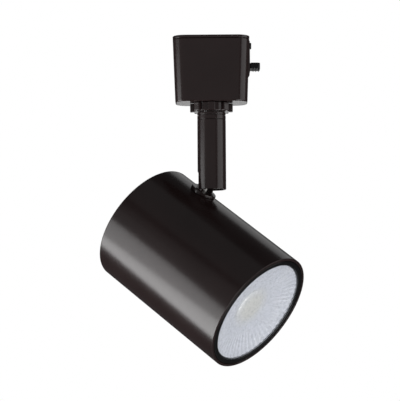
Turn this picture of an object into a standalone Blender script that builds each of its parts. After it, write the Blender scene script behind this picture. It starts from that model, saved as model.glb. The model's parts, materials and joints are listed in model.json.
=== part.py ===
"""Track spotlight: a cylindrical LED head on a swivelling stem under a track adapter.

Metres, +Z up.  The origin is the middle of the adapter's top face, which lies against the track,
and the lamp hangs below it.  The long side of the adapter runs along X, which is along the track.
"""
import math

import bmesh
import bpy
from mathutils import Matrix

MM = 0.001

# ---- general clearances ------------------------------------------------------------------------
GAP = 0.3 * MM              # between pieces that touch, slide or screw together
SLIP = 0.5 * MM             # round parts that turn in a wider hole

# ---- pose of the stored model ------------------------------------------------------------------
PAN_ANGLE = math.radians(-32.9)     # direction of the head's front, from +X
TILT_ANGLE = math.radians(34.7)     # front of the head below horizontal

# ---- adapter -----------------------------------------------------------------------------------
ADAPTER_TOP_LENGTH = 42.6 * MM
ADAPTER_TOP_DEPTH = 26.0 * MM
ADAPTER_HEIGHT = 36.6 * MM
ADAPTER_DRAFT = 1.3 * MM            # how far each side leans in from top to bottom
ADAPTER_CORNER = 7.0 * MM
ADAPTER_WALL = 1.8 * MM
ADAPTER_FLOOR = 2.0 * MM
COVER_THICKNESS = 1.6 * MM
COVER_SCREW_RADIUS = 1.1 * MM
COVER_SCREW_HEAD = 2.2 * MM
COVER_SCREW_LENGTH = 9.0 * MM
SCREW_POST_RADIUS = 2.6 * MM
SCREW_POST_BITE = 0.5 * MM           # how far a screw post runs into the wall of its corner

# ---- contacts ----------------------------------------------------------------------------------
CARRIER_LENGTH = 32.0 * MM
CARRIER_DEPTH = 13.2 * MM
CARRIER_HEIGHT = 9.0 * MM
CARRIER_FLOOR = 1.2 * MM
CONTACT_TIP_RADIUS = 1.6 * MM
CONTACT_FLANGE_RADIUS = 2.3 * MM
CONTACT_FLANGE = 0.8 * MM
CONTACT_PROUD = 0.7 * MM
CONTACT_SPRING_RADIUS = 1.7 * MM
CONTACT_SPRING_WIRE = 0.4 * MM
POWER_CONTACT_X = -10.0 * MM
POWER_CONTACT_Y = 3.6 * MM
GROUND_CONTACT_X = 9.0 * MM

# ---- lock slider -------------------------------------------------------------------------------
PAD_PROUD = 0.2 * MM                # flat track of the slider, outside the adapter's end
PAD_TOP = -2.6 * MM
PAD_BOTTOM = -22.3 * MM
PAD_HALF_WIDTH = 7.0 * MM
PAD_RAMP = 2.2 * MM
NUB_TOP = -3.1 * MM
NUB_HEIGHT = 3.3 * MM
NUB_WIDTH = 3.2 * MM
NUB_PROUD = 0.9 * MM
PADDLE_TOP = -14.7 * MM
PADDLE_THICKNESS = 3.1 * MM
PADDLE_WIDTH = 11.6 * MM
PADDLE_NECK_WIDTH = 7.0 * MM
PADDLE_LENGTH = 5.6 * MM
PADDLE_RIB = 0.5 * MM
SLIDER_PLATE = 1.2 * MM
SLIDER_PLATE_EDGE = 0.8 * MM         # the plate is this much wider than the neck on each side
SLIDER_FOOT = 4.6 * MM
LOCK_TRAVEL = 3.5 * MM
LOCK_SPRING_RADIUS = 1.9 * MM
LOCK_SPRING_WIRE = 0.6 * MM

# ---- swivel ------------------------------------------------------------------------------------
SOCKET_RIB_RADIUS = 11.86 * MM
SOCKET_CORE_RADIUS = 10.1 * MM
SOCKET_HEIGHT = 4.6 * MM
SOCKET_RIBS = 8
SOCKET_RIB_WIDTH = 3.8 * MM
SHAFT_RADIUS = 5.0 * MM
SHAFT_BORE = 3.4 * MM
SOCKET_SLEEVE = 1.6 * MM            # wall of the bush where it passes the adapter's floor
WASHER_THICKNESS = 0.8 * MM
WASHER_RADIUS = 8.4 * MM
NUT_FLATS = 14.0 * MM
NUT_HEIGHT = 3.4 * MM
STOP_PIN_RADIUS = 0.6 * MM
STOP_POST_RADIUS = 0.6 * MM

# ---- stem --------------------------------------------------------------------------------------
STEM_RADIUS = 7.9 * MM
STEM_WALL = 1.0 * MM
STEM_TUBE_LENGTH = 38.7 * MM
CAP_RIM = 1.4 * MM
CAP_GROOVE = 0.4 * MM
CAP_GROOVE_DEPTH = 0.6 * MM
CAP_BAND = 2.2 * MM
CAP_SPIGOT = 6.0 * MM
PIVOT_ABOVE_STEM_END = 7.4 * MM
NOTCH_ABOVE_PIVOT = 2.6 * MM
NOTCH_START = 2.9 * MM              # the open side of the stem begins this far behind its axis
NOTCH_CORNER = 1.2 * MM
NOTCH_SIDE_CLEARANCE = 0.35 * MM

# ---- tilt joint --------------------------------------------------------------------------------
BLOCK_BASE = 5.0 * MM               # underside of the swivel block's body above the pivot
BLOCK_HEIGHT = 8.0 * MM
CHEEK_INNER = 1.7 * MM
CHEEK_OUTER = 3.4 * MM
CHEEK_HALF_WIDTH = 2.8 * MM
LUG_THICKNESS = 1.4 * MM
LUG_WIDTH = 3.8 * MM
EYE_RADIUS = 3.0 * MM
PIN_RADIUS = 1.25 * MM
TILT_WASHER = 0.5 * MM
SWING_CLEARANCE = 0.062 * MM        # bracket base past the stem's bottom corner, before it is eased
BASE_RADIUS = 7.4 * MM
BASE_THICKNESS = 1.2 * MM
BRACKET_SCREW_RADIUS = 1.2 * MM
BRACKET_SCREW_SPACING = 10.0 * MM

# ---- head --------------------------------------------------------------------------------------
HEAD_RADIUS = 35.2 * MM
HEAD_LENGTH = 90.7 * MM
HEAD_WALL = 1.6 * MM
SHOULDER = 0.4 * MM                 # the wall is this much thicker behind the heat sink
PIVOT_TO_REAR = 23.0 * MM
REAR_EDGE = 1.0 * MM
FRONT_EDGE = 0.35 * MM
REAR_RECESS = 1.2 * MM
REAR_CAP_THICKNESS = 2.0 * MM
REAR_LEDGE = 2.0 * MM
BOSS_RADIUS = 3.0 * MM
BOSS_INSET = 2.7 * MM               # boss axis inside the housing's inner wall
BOSS_LENGTH = 9.0 * MM
HEAD_SCREW_RADIUS = 1.1 * MM
HEAD_SCREW_HEAD = 1.9 * MM
HEAD_SCREW_LENGTH = 8.0 * MM
SCREW_COUNT = 3
VENT_COUNT = 12
VENT_INNER = 12.0 * MM
VENT_OUTER = 25.0 * MM
VENT_WIDTH = 2.0 * MM

# ---- light engine, heights measured along the head from its rear plane ---------------------------
SINK_FACE = 62.0 * MM
SINK_PLATE = 4.0 * MM
SINK_FIN_DEPTH = 11.0 * MM
SINK_FIN_THICKNESS = 1.6 * MM
SINK_FIN_PITCH = 6.4 * MM
SINK_FIN_COUNT = 7
LED_BOARD_RADIUS = 14.0 * MM
LED_BOARD_THICKNESS = 1.5 * MM
EMITTER_RADIUS = 7.0 * MM
EMITTER_THICKNESS = 0.9 * MM
LENS_RECESS = 0.35 * MM
LENS_FLANGE = 1.9 * MM
LENS_FLANGE_THICKNESS = 2.0 * MM
LENS_NECK_RADIUS = 9.5 * MM
LENS_POCKET_RADIUS = 8.6 * MM
LENS_POCKET_DEPTH = 5.0 * MM
BEZEL_DEPTH = 6.0 * MM
BEZEL_LIP = 2.0 * MM
BEZEL_SKIRT = 0.4 * MM
GASKET_THICKNESS = 1.1 * MM
HOLDER_WALL = 1.8 * MM

# ---- driver ------------------------------------------------------------------------------------
TRAY_LENGTH = 34.0 * MM
TRAY_WIDTH = 48.0 * MM
TRAY_THICKNESS = 1.6 * MM
TRAY_BELOW_AXIS = 14.0 * MM
TRAY_TO_SINK = 0.3 * MM
STANDOFF_HEIGHT = 3.0 * MM
STANDOFF_RADIUS = 2.0 * MM
BOARD_MARGIN = 2.0 * MM
BOARD_THICKNESS = 1.6 * MM

# ---- wiring ------------------------------------------------------------------------------------
LEAD_RADIUS = 0.7 * MM
SLEEVE_RADIUS = 1.2 * MM
LED_LEAD_RADIUS = 0.9 * MM
BUSHING_WALL = 1.0 * MM

# ---- sizes that follow from the above ------------------------------------------------------------
ADAPTER_BOTTOM = -ADAPTER_HEIGHT
FLOOR_TOP = ADAPTER_BOTTOM + ADAPTER_FLOOR
CAVITY_HALF_LENGTH = ADAPTER_TOP_LENGTH / 2 - ADAPTER_DRAFT - ADAPTER_WALL
CAVITY_HALF_DEPTH = ADAPTER_TOP_DEPTH / 2 - ADAPTER_DRAFT - ADAPTER_WALL
CAVITY_TOP = -COVER_THICKNESS - GAP
PAD_FACE_X = ADAPTER_TOP_LENGTH / 2 + PAD_PROUD
PADDLE_REACH = PAD_FACE_X + PADDLE_LENGTH
CARRIER_TOP = CAVITY_TOP
SOCKET_TOP = ADAPTER_BOTTOM - GAP
SOCKET_BOTTOM = SOCKET_TOP - SOCKET_HEIGHT
SOCKET_BORE = SHAFT_RADIUS + GAP
SLEEVE_OUTER = SOCKET_BORE + SOCKET_SLEEVE
WASHER_BOTTOM = FLOOR_TOP + GAP
NUT_BOTTOM = WASHER_BOTTOM + WASHER_THICKNESS + GAP
NUT_TOP = NUT_BOTTOM + NUT_HEIGHT
STOP_PIN_Z = NUT_TOP + GAP + STOP_PIN_RADIUS
STOP_CIRCLE = WASHER_RADIUS + GAP + STOP_POST_RADIUS
STOP_PIN_REACH = CAVITY_HALF_DEPTH - GAP
SHAFT_TOP = STOP_PIN_Z + STOP_PIN_RADIUS + 0.6 * MM
CAP_TOP = SOCKET_BOTTOM - GAP
CAP_BOTTOM = CAP_TOP - CAP_RIM - CAP_GROOVE - CAP_BAND
SPIGOT_BOTTOM = CAP_BOTTOM - CAP_SPIGOT
STEM_TOP = CAP_BOTTOM - GAP
STEM_BOTTOM = STEM_TOP - STEM_TUBE_LENGTH
STEM_BORE = STEM_RADIUS - STEM_WALL
PIVOT_Z = STEM_BOTTOM + PIVOT_ABOVE_STEM_END
LUG_INNER = CHEEK_OUTER + TILT_WASHER + 2 * GAP
LUG_OUTER = LUG_INNER + LUG_THICKNESS
PIN_HALF_LENGTH = LUG_OUTER + GAP
NOTCH_HALF_WIDTH = LUG_OUTER + NOTCH_SIDE_CLEARANCE
STEM_CORNER_DEPTH = math.sqrt(STEM_RADIUS ** 2 - NOTCH_HALF_WIDTH ** 2)
BASE_TOP = -math.hypot(STEM_CORNER_DEPTH, PIVOT_ABOVE_STEM_END) - SWING_CLEARANCE
PIVOT_TO_HEAD = -BASE_TOP + BASE_THICKNESS + GAP
PIVOT_TO_AXIS = PIVOT_TO_HEAD + HEAD_RADIUS
HEAD_BORE = HEAD_RADIUS - HEAD_WALL
REAR_BORE = HEAD_BORE - SHOULDER
REAR_CAP_TOP = REAR_RECESS + REAR_CAP_THICKNESS
LEDGE_START = REAR_CAP_TOP + GAP
BOSS_CIRCLE = HEAD_BORE - BOSS_INSET
BEZEL_RADIUS = HEAD_BORE - GAP
LENS_FLANGE_RADIUS = BEZEL_RADIUS - BEZEL_SKIRT - GAP
LENS_RADIUS = LENS_FLANGE_RADIUS - LENS_FLANGE
SINK_BACK = SINK_FACE - SINK_PLATE
LED_BOARD_BACK = SINK_FACE + GAP
LED_BOARD_FACE = LED_BOARD_BACK + LED_BOARD_THICKNESS
EMITTER_FACE = LED_BOARD_FACE + GAP + EMITTER_THICKNESS
LENS_BACK = EMITTER_FACE + GAP
LENS_FACE = HEAD_LENGTH - LENS_RECESS
FLANGE_FRONT = HEAD_LENGTH - BEZEL_LIP - GAP
FLANGE_BACK = FLANGE_FRONT - LENS_FLANGE_THICKNESS
GASKET_FRONT = FLANGE_BACK - GAP
GASKET_BACK = GASKET_FRONT - GASKET_THICKNESS
HOLDER_FRONT = GASKET_BACK - GAP
HOLDER_BACK = SINK_FACE + GAP
HOLDER_RADIUS = HEAD_BORE - SLIP
TRAY_END = SINK_BACK - SINK_FIN_DEPTH - TRAY_TO_SINK
BUSHING_BORE = SLEEVE_RADIUS + GAP
BUSHING_RADIUS = BUSHING_BORE + BUSHING_WALL
DRIVER_X = TRAY_BELOW_AXIS          # the driver sits on the side away from the stem

ROUND = 60                          # sides of the large turned pieces
MEDIUM = 32
SMALL = 18


# ================================================================================================
# Scene, materials and building blocks
# ================================================================================================
def clear_scene():
    for obj in list(bpy.data.objects):
        bpy.data.objects.remove(obj)


clear_scene()
PARTS = bpy.data.collections.new("track_spotlight")
CUTTERS = bpy.data.collections.new("cutters")
bpy.context.scene.collection.children.link(PARTS)
bpy.context.scene.collection.children.link(CUTTERS)


def make_material(name, color, metallic, roughness, alpha=1.0):
    material = bpy.data.materials.new(name)
    material.use_nodes = True
    shader = material.node_tree.nodes["Principled BSDF"]
    shader.inputs["Base Color"].default_value = (*color, 1.0)
    shader.inputs["Metallic"].default_value = metallic
    shader.inputs["Roughness"].default_value = roughness
    shader.inputs["Alpha"].default_value = alpha
    material.diffuse_color = (*color, alpha)
    return material


BRONZE = make_material("bronze_paint", (0.016, 0.013, 0.012), 0.35, 0.32)
BLACK_PLASTIC = make_material("black_plastic", (0.010, 0.010, 0.011), 0.0, 0.45)
BEZEL_BLACK = make_material("bezel_black", (0.008, 0.008, 0.008), 0.0, 0.35)
STEEL = make_material("zinc_steel", (0.55, 0.55, 0.56), 1.0, 0.35)
BRASS = make_material("contact_brass", (0.72, 0.52, 0.22), 1.0, 0.28)
ALUMINIUM = make_material("heat_sink_aluminium", (0.70, 0.71, 0.72), 1.0, 0.42)
WHITE_PLASTIC = make_material("white_plastic", (0.80, 0.80, 0.78), 0.0, 0.5)
CLEAR_LENS = make_material("clear_lens", (0.93, 0.95, 0.98), 0.0, 0.05, 0.35)
PHOSPHOR = make_material("led_phosphor", (0.85, 0.72, 0.22), 0.0, 0.6)
CIRCUIT_GREEN = make_material("circuit_board", (0.03, 0.20, 0.08), 0.0, 0.4)
COMPONENT = make_material("component_case", (0.05, 0.05, 0.06), 0.0, 0.5)
WINDING = make_material("transformer_tape", (0.75, 0.62, 0.12), 0.0, 0.55)
RUBBER = make_material("silicone_rubber", (0.04, 0.04, 0.04), 0.0, 0.8)
LEAD_WHITE = make_material("lead_insulation", (0.78, 0.78, 0.76), 0.0, 0.55)


def add_object(name, mesh, collection, parent=None):
    obj = bpy.data.objects.new(name, mesh)
    obj.parent = parent
    collection.objects.link(obj)
    return obj


def mesh_from(bm, name):
    mesh = bpy.data.meshes.new(name)
    bm.to_mesh(mesh)
    bm.free()
    return mesh


def add_part(name, shape, material, parent=None):
    """A shape mesh becomes a named part with its material."""
    obj = add_object(name, shape, PARTS, parent)
    shape.materials.append(material)
    return obj


def add_numbered_parts(name, shapes, material, parent=None):
    """Like pieces, each its own part: name_1, name_2 and so on."""
    for number, shape in enumerate(shapes, start=1):
        add_part("%s_%d" % (name, number), shape, material, parent)


def add_empty(name, location, rotation, parent=None):
    empty = add_object(name, None, PARTS, parent)
    empty.location = location
    empty.rotation_euler = rotation
    return empty


def box_shape(low, high, bevel=0.0, segments=2):
    """A block between two corners, with its edges rounded."""
    bm = bmesh.new()
    bmesh.ops.create_cube(bm, size=1.0)
    size = [h - l for l, h in zip(low, high)]
    middle = [(h + l) / 2 for l, h in zip(low, high)]
    bmesh.ops.scale(bm, vec=size, verts=bm.verts)
    bmesh.ops.translate(bm, vec=middle, verts=bm.verts)
    if bevel > 0.0:
        bmesh.ops.bevel(bm, geom=list(bm.edges), offset=bevel, segments=segments, profile=0.5,
                        affect="EDGES", clamp_overlap=True)
    return mesh_from(bm, "box")


def rounded_block_shape(length, depth, low, high, corner, draft=0.0, edge=0.0):
    """A block round Z with rounded upright corners; draft widens the top, edge rounds the bottom."""
    bm = bmesh.new()
    bmesh.ops.create_cube(bm, size=1.0)
    bmesh.ops.scale(bm, vec=(length, depth, high - low), verts=bm.verts)
    bmesh.ops.translate(bm, vec=(0, 0, (high + low) / 2), verts=bm.verts)
    upright = [e for e in bm.edges if abs(e.verts[0].co.z - e.verts[1].co.z) > (high - low) / 2]
    bmesh.ops.bevel(bm, geom=upright, offset=corner, segments=6, profile=0.5, affect="EDGES")
    for vert in bm.verts:
        share = (vert.co.z - low) / (high - low)
        vert.co.x += math.copysign(draft * share, vert.co.x)
        vert.co.y += math.copysign(draft * share, vert.co.y)
    if edge > 0.0:
        rim = [e for e in bm.edges if max(v.co.z for v in e.verts) < low + (high - low) / 2]
        bmesh.ops.bevel(bm, geom=rim, offset=edge, segments=2, profile=0.5, affect="EDGES")
    return mesh_from(bm, "block")


def cylinder_shape(radius, start, end, axis="Z", centre=(0.0, 0.0), sides=SMALL):
    """A cylinder along one axis; centre gives its place on the other two, in X, Y, Z order."""
    bm = bmesh.new()
    bmesh.ops.create_cone(bm, cap_ends=True, segments=sides, radius1=radius, radius2=radius,
                          depth=end - start)
    middle = (start + end) / 2
    if axis == "Z":
        place = Matrix.Translation((centre[0], centre[1], middle))
    elif axis == "Y":
        place = Matrix.Translation((centre[0], middle, centre[1])) @ Matrix.Rotation(math.pi / 2, 4, "X")
    else:
        place = Matrix.Translation((middle, centre[0], centre[1])) @ Matrix.Rotation(math.pi / 2, 4, "Y")
    bmesh.ops.transform(bm, matrix=place, verts=bm.verts)
    return mesh_from(bm, "cylinder")


def turned_shape(profile, sides, closed=False):
    """Turn a profile of (radius, height) points about Z; its outer side runs from top to bottom."""
    bm = bmesh.new()
    verts = [bm.verts.new((radius, 0.0, height)) for radius, height in profile]
    for first, second in zip(verts, verts[1:]):
        bm.edges.new((first, second))
    if closed:
        bm.edges.new((verts[-1], verts[0]))
    mesh = mesh_from(bm, "profile")
    turned = add_object("turned", mesh, CUTTERS)
    screw = turned.modifiers.new("Screw", "SCREW")
    screw.steps = sides
    screw.render_steps = sides
    screw.use_merge_vertices = True
    screw.merge_threshold = 0.00001
    return take_mesh(turned)


def prism_shape(outline, thickness, axis="Y", offset=0.0):
    """A flat outline of (u, v) points given a thickness along one axis, centred on the offset."""
    curve = bpy.data.curves.new("outline", "CURVE")
    curve.dimensions = "2D"
    curve.fill_mode = "BOTH"
    curve.extrude = thickness / 2
    spline = curve.splines.new("POLY")
    spline.points.add(len(outline) - 1)
    for point, (u, v) in zip(spline.points, outline):
        point.co = (u, v, 0.0, 1.0)
    spline.use_cyclic_u = True
    flat = add_object("flat", curve, CUTTERS)
    mesh = take_mesh(flat)
    if axis == "Y":
        mesh.transform(Matrix.Translation((0, offset, 0)) @ Matrix.Rotation(math.pi / 2, 4, "X"))
    elif axis == "Z":
        mesh.transform(Matrix.Translation((0, 0, offset)))
    return mesh


def wire_shape(points, radius, resolution=2):
    """A round wire through the points, with closed ends."""
    curve = bpy.data.curves.new("wire", "CURVE")
    curve.dimensions = "3D"
    curve.bevel_depth = radius
    curve.bevel_resolution = resolution
    curve.use_fill_caps = True
    spline = curve.splines.new("POLY")
    spline.points.add(len(points) - 1)
    for point, place in zip(spline.points, points):
        point.co = (*place, 1.0)
    return take_mesh(add_object("wire", curve, CUTTERS))


def take_mesh(obj):
    """The evaluated mesh of a helper object, welded; the helper is removed."""
    bpy.context.view_layer.update()
    evaluated = obj.evaluated_get(bpy.context.evaluated_depsgraph_get())
    mesh = bpy.data.meshes.new_from_object(evaluated)
    bpy.data.objects.remove(obj)
    bm = bmesh.new()
    bm.from_mesh(mesh)
    bmesh.ops.remove_doubles(bm, verts=bm.verts, dist=0.000005)
    bm.to_mesh(mesh)
    bm.free()
    return mesh


def boolean_shape(base, others, operation):
    """Cut the other shapes from the base, or unite them with it, one after another."""
    target = add_object("target", base, CUTTERS)
    for number, shape in enumerate(others):
        tool = add_object("tool_%d" % number, shape, CUTTERS)
        tool.hide_render = True
        tool.display_type = "WIRE"
        step = target.modifiers.new("step_%d" % number, "BOOLEAN")
        step.operation = operation
        step.solver = "EXACT"
        step.object = tool
    mesh = take_mesh(target)
    for obj in list(CUTTERS.objects):
        bpy.data.objects.remove(obj)
    return mesh


def cut(base, *others):
    return boolean_shape(base, others, "DIFFERENCE")


def unite(base, *others):
    return boolean_shape(base, others, "UNION")


def moved(shape, x=0.0, y=0.0, z=0.0, turn=0.0):
    """A copy of a shape, turned about Z and then moved."""
    copy = shape.copy()
    copy.transform(Matrix.Translation((x, y, z)) @ Matrix.Rotation(turn, 4, "Z"))
    return copy


def ring_shape(inner, outer, low, high, sides, edge=0.0):
    """A flat or tall ring round Z, with its outer corners rounded off."""
    profile = [(inner, high), (outer - edge, high)]
    if edge > 0.0:
        profile += [(outer, high - edge), (outer, low + edge)]
    else:
        profile += [(outer, low)]
        profile[1] = (outer, high)
    if edge > 0.0:
        profile += [(outer - edge, low)]
    profile += [(inner, low)]
    return turned_shape(profile, sides, closed=True)


def lug_shape(half_width, end, low, high):
    """A flat lug in the XZ plane: a round eye about the Y axis, and a straight shank to z = end."""
    spread = math.asin(half_width / EYE_RADIUS)
    sign = math.copysign(1.0, end)
    outline = [(half_width, end)]
    steps = 22
    for step in range(steps + 1):
        angle = -math.pi / 2 + spread + (math.tau - 2 * spread) * step / steps
        outline.append((EYE_RADIUS * math.cos(angle), -sign * EYE_RADIUS * math.sin(angle)))
    outline.append((-half_width, end))
    return prism_shape(outline, abs(high - low), axis="Y", offset=(low + high) / 2)


def screw_shape(head_radius, shank_radius, head, length, sides=16, countersunk=False):
    """A screw with its head's top at height 0 and its shank pointing down."""
    if countersunk:
        profile = [(0, 0), (head_radius, 0), (shank_radius, -(head_radius - shank_radius))]
    else:
        profile = [(0, 0), (head_radius * 0.8, 0), (head_radius, -head * 0.4), (head_radius, -head),
                   (shank_radius, -head)]
    profile += [(shank_radius, -length + shank_radius * 0.5), (shank_radius * 0.5, -length), (0, -length)]
    body = turned_shape(profile, sides)
    slot_half = head_radius * 0.7
    slot_width = head_radius * 0.13
    slot_depth = head * 0.45 if not countersunk else head_radius * 0.3
    slot = box_shape((-slot_half, -slot_width, -slot_depth), (slot_half, slot_width, head))
    return cut(body, slot)


def coil_points(radius, low, high, turns, x=0.0, y=0.0, steps=9):
    """Points along a spring's wire, round an upright axis at x, y."""
    count = turns * steps
    points = []
    for number in range(count + 1):
        angle = math.tau * number / steps
        height = low + (high - low) * number / count
        points.append((x + radius * math.cos(angle), y + radius * math.sin(angle), height))
    return points


def smooth_points(knots, steps=5):
    """A smooth line through the knots, as a chain of Catmull-Rom stretches."""
    points = []
    last = len(knots) - 1
    for number in range(last):
        before = knots[max(number - 1, 0)]
        start = knots[number]
        end = knots[number + 1]
        after = knots[min(number + 2, last)]
        for step in range(steps):
            t = step / steps
            points.append(tuple(
                0.5 * (2 * b + (c - a) * t + (2 * a - 5 * b + 4 * c - d) * t * t
                       + (3 * b - a - 3 * c + d) * t * t * t)
                for a, b, c, d in zip(before, start, end, after)))
    points.append(tuple(knots[-1]))
    return points


# ================================================================================================
# Adapter
# ================================================================================================
def cover_screw_places():
    """Two opposite corners of the adapter, where the cover's screw posts stand."""
    corner = ADAPTER_CORNER - ADAPTER_WALL
    inset = corner - (corner + SCREW_POST_BITE - SCREW_POST_RADIUS) / math.sqrt(2)
    x = CAVITY_HALF_LENGTH - inset
    y = CAVITY_HALF_DEPTH - inset
    return [(-x, -y), (x, y)]


def contact_places():
    """Name of each contact and its place on the top face."""
    return {
        "live": (POWER_CONTACT_X, -POWER_CONTACT_Y),
        "neutral": (POWER_CONTACT_X, POWER_CONTACT_Y),
        "ground": (GROUND_CONTACT_X, 0.0),
    }


def adapter_outline(low, high, edge=0.0):
    """The adapter's leaning outer shape between two heights."""
    def half(value, height):
        return value / 2 + ADAPTER_DRAFT * height / ADAPTER_HEIGHT
    length = 2 * half(ADAPTER_TOP_LENGTH, low)
    depth = 2 * half(ADAPTER_TOP_DEPTH, low)
    draft = ADAPTER_DRAFT * (high - low) / ADAPTER_HEIGHT
    return rounded_block_shape(length, depth, low, high, ADAPTER_CORNER, draft, edge)


def slider_windows():
    """Openings in the end wall that the nub and the paddle's neck slide in."""
    inside = CAVITY_HALF_LENGTH - 1.0 * MM
    outside = PAD_FACE_X + 2.0 * MM
    nub_half = NUB_WIDTH / 2 + GAP
    neck_half = PADDLE_NECK_WIDTH / 2 + GAP
    nub_low = NUB_TOP - NUB_HEIGHT - LOCK_TRAVEL - GAP
    neck_low = PADDLE_TOP - PADDLE_THICKNESS - LOCK_TRAVEL - GAP
    return [
        box_shape((inside, -nub_half, nub_low), (outside, nub_half, NUB_TOP + GAP)),
        box_shape((inside, -neck_half, neck_low), (outside, neck_half, PADDLE_TOP + GAP)),
    ]


def build_adapter_housing():
    outer = adapter_outline(ADAPTER_BOTTOM, CAVITY_TOP, edge=0.7 * MM)
    pad_outline = [
        (CAVITY_HALF_LENGTH + 0.4 * MM, PAD_TOP),
        (PAD_FACE_X, PAD_TOP),
        (PAD_FACE_X, PAD_BOTTOM + PAD_RAMP),
        (CAVITY_HALF_LENGTH + 0.4 * MM, PAD_BOTTOM - PAD_RAMP),
    ]
    pad = prism_shape(pad_outline, 2 * PAD_HALF_WIDTH, axis="Y")
    shell = unite(outer, pad)
    cavity = rounded_block_shape(2 * CAVITY_HALF_LENGTH, 2 * CAVITY_HALF_DEPTH, FLOOR_TOP, 2 * MM,
                                 ADAPTER_CORNER - ADAPTER_WALL)
    shell = cut(shell, cavity)
    posts = []
    for x, y in cover_screw_places():
        posts.append(cylinder_shape(SCREW_POST_RADIUS, -COVER_SCREW_LENGTH - 3 * MM, CAVITY_TOP,
                                    centre=(x, y), sides=16))
    posts.append(cylinder_shape(STOP_POST_RADIUS, FLOOR_TOP - 0.5 * MM, STOP_PIN_Z + 1.0 * MM,
                                centre=(-STOP_CIRCLE, 0.0), sides=12))
    shell = unite(shell, *posts)
    holes = []
    for x, y in cover_screw_places():
        holes.append(cylinder_shape(COVER_SCREW_RADIUS + GAP, -COVER_SCREW_LENGTH - GAP, 1 * MM,
                                    centre=(x, y), sides=12))
    holes.append(cylinder_shape(SLEEVE_OUTER + GAP, ADAPTER_BOTTOM - 1 * MM, FLOOR_TOP + 1 * MM,
                                sides=MEDIUM))
    shell = cut(shell, *holes, *slider_windows())
    add_part("adapter_housing", shell, BRONZE)


def build_top_cover():
    plate = adapter_outline(-COVER_THICKNESS, 0.0)
    cutters = []
    for x, y in contact_places().values():
        cutters.append(cylinder_shape(CONTACT_TIP_RADIUS + GAP, -3 * MM, 1 * MM, centre=(x, y)))
    sink = COVER_SCREW_HEAD - COVER_SCREW_RADIUS
    clear_head = COVER_SCREW_HEAD + GAP
    clear_shank = COVER_SCREW_RADIUS + GAP
    profile = [(0, 0.5 * MM), (clear_head, 0.5 * MM), (clear_head, 0), (clear_shank, -sink),
               (clear_shank, -3 * MM), (0, -3 * MM)]
    countersink = turned_shape(profile, 16)
    for x, y in cover_screw_places():
        cutters.append(moved(countersink, x, y))
    add_part("top_cover", cut(plate, *cutters), BRONZE)


def build_cover_screws():
    screw = screw_shape(COVER_SCREW_HEAD, COVER_SCREW_RADIUS, 1.2 * MM, COVER_SCREW_LENGTH - 0.1 * MM,
                        countersunk=True)
    screws = [moved(screw, x, y, -0.1 * MM) for x, y in cover_screw_places()]
    add_numbered_parts("cover_screw", screws, STEEL)


def carrier_bottom():
    return CARRIER_TOP - CARRIER_HEIGHT


def build_contact_carrier():
    block = box_shape((-CARRIER_LENGTH / 2 - 1 * MM, -CARRIER_DEPTH / 2, carrier_bottom()),
                      (CARRIER_LENGTH / 2 - 1 * MM, CARRIER_DEPTH / 2, CARRIER_TOP), 0.5 * MM, 1)
    cutters = []
    for x, y in contact_places().values():
        cutters.append(cylinder_shape(CONTACT_FLANGE_RADIUS + GAP, carrier_bottom() + CARRIER_FLOOR,
                                      CARRIER_TOP + 1 * MM, centre=(x, y)))
        cutters.append(cylinder_shape(LEAD_RADIUS + GAP, carrier_bottom() - 1 * MM,
                                      carrier_bottom() + CARRIER_FLOOR + 1 * MM, centre=(x, y), sides=12))
    for x, y in cover_screw_places():
        cutters.append(cylinder_shape(SCREW_POST_RADIUS + GAP, carrier_bottom() - 1 * MM,
                                      CARRIER_TOP + 1 * MM, centre=(x, y), sides=16))
    add_part("contact_carrier", cut(block, *cutters), BLACK_PLASTIC)


def build_contacts():
    flange_top = CARRIER_TOP - GAP
    flange_bottom = flange_top - CONTACT_FLANGE
    tip = CONTACT_TIP_RADIUS
    profile = [(0, CONTACT_PROUD), (tip * 0.55, CONTACT_PROUD), (tip, CONTACT_PROUD - 0.5 * MM),
               (tip, flange_top), (CONTACT_FLANGE_RADIUS, flange_top),
               (CONTACT_FLANGE_RADIUS, flange_bottom), (0, flange_bottom)]
    plunger = turned_shape(profile, SMALL)
    spring_top = flange_bottom - GAP - CONTACT_SPRING_WIRE / 2
    spring_bottom = carrier_bottom() + CARRIER_FLOOR + GAP + CONTACT_SPRING_WIRE / 2
    for name, (x, y) in contact_places().items():
        contact = add_part(name + "_contact", plunger.copy(), BRASS)
        contact.location = (x, y, 0.0)
        coil = coil_points(CONTACT_SPRING_RADIUS, spring_bottom, spring_top, 4, x, y)
        add_part(name + "_contact_spring", wire_shape(coil, CONTACT_SPRING_WIRE / 2, 1), STEEL)


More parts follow.
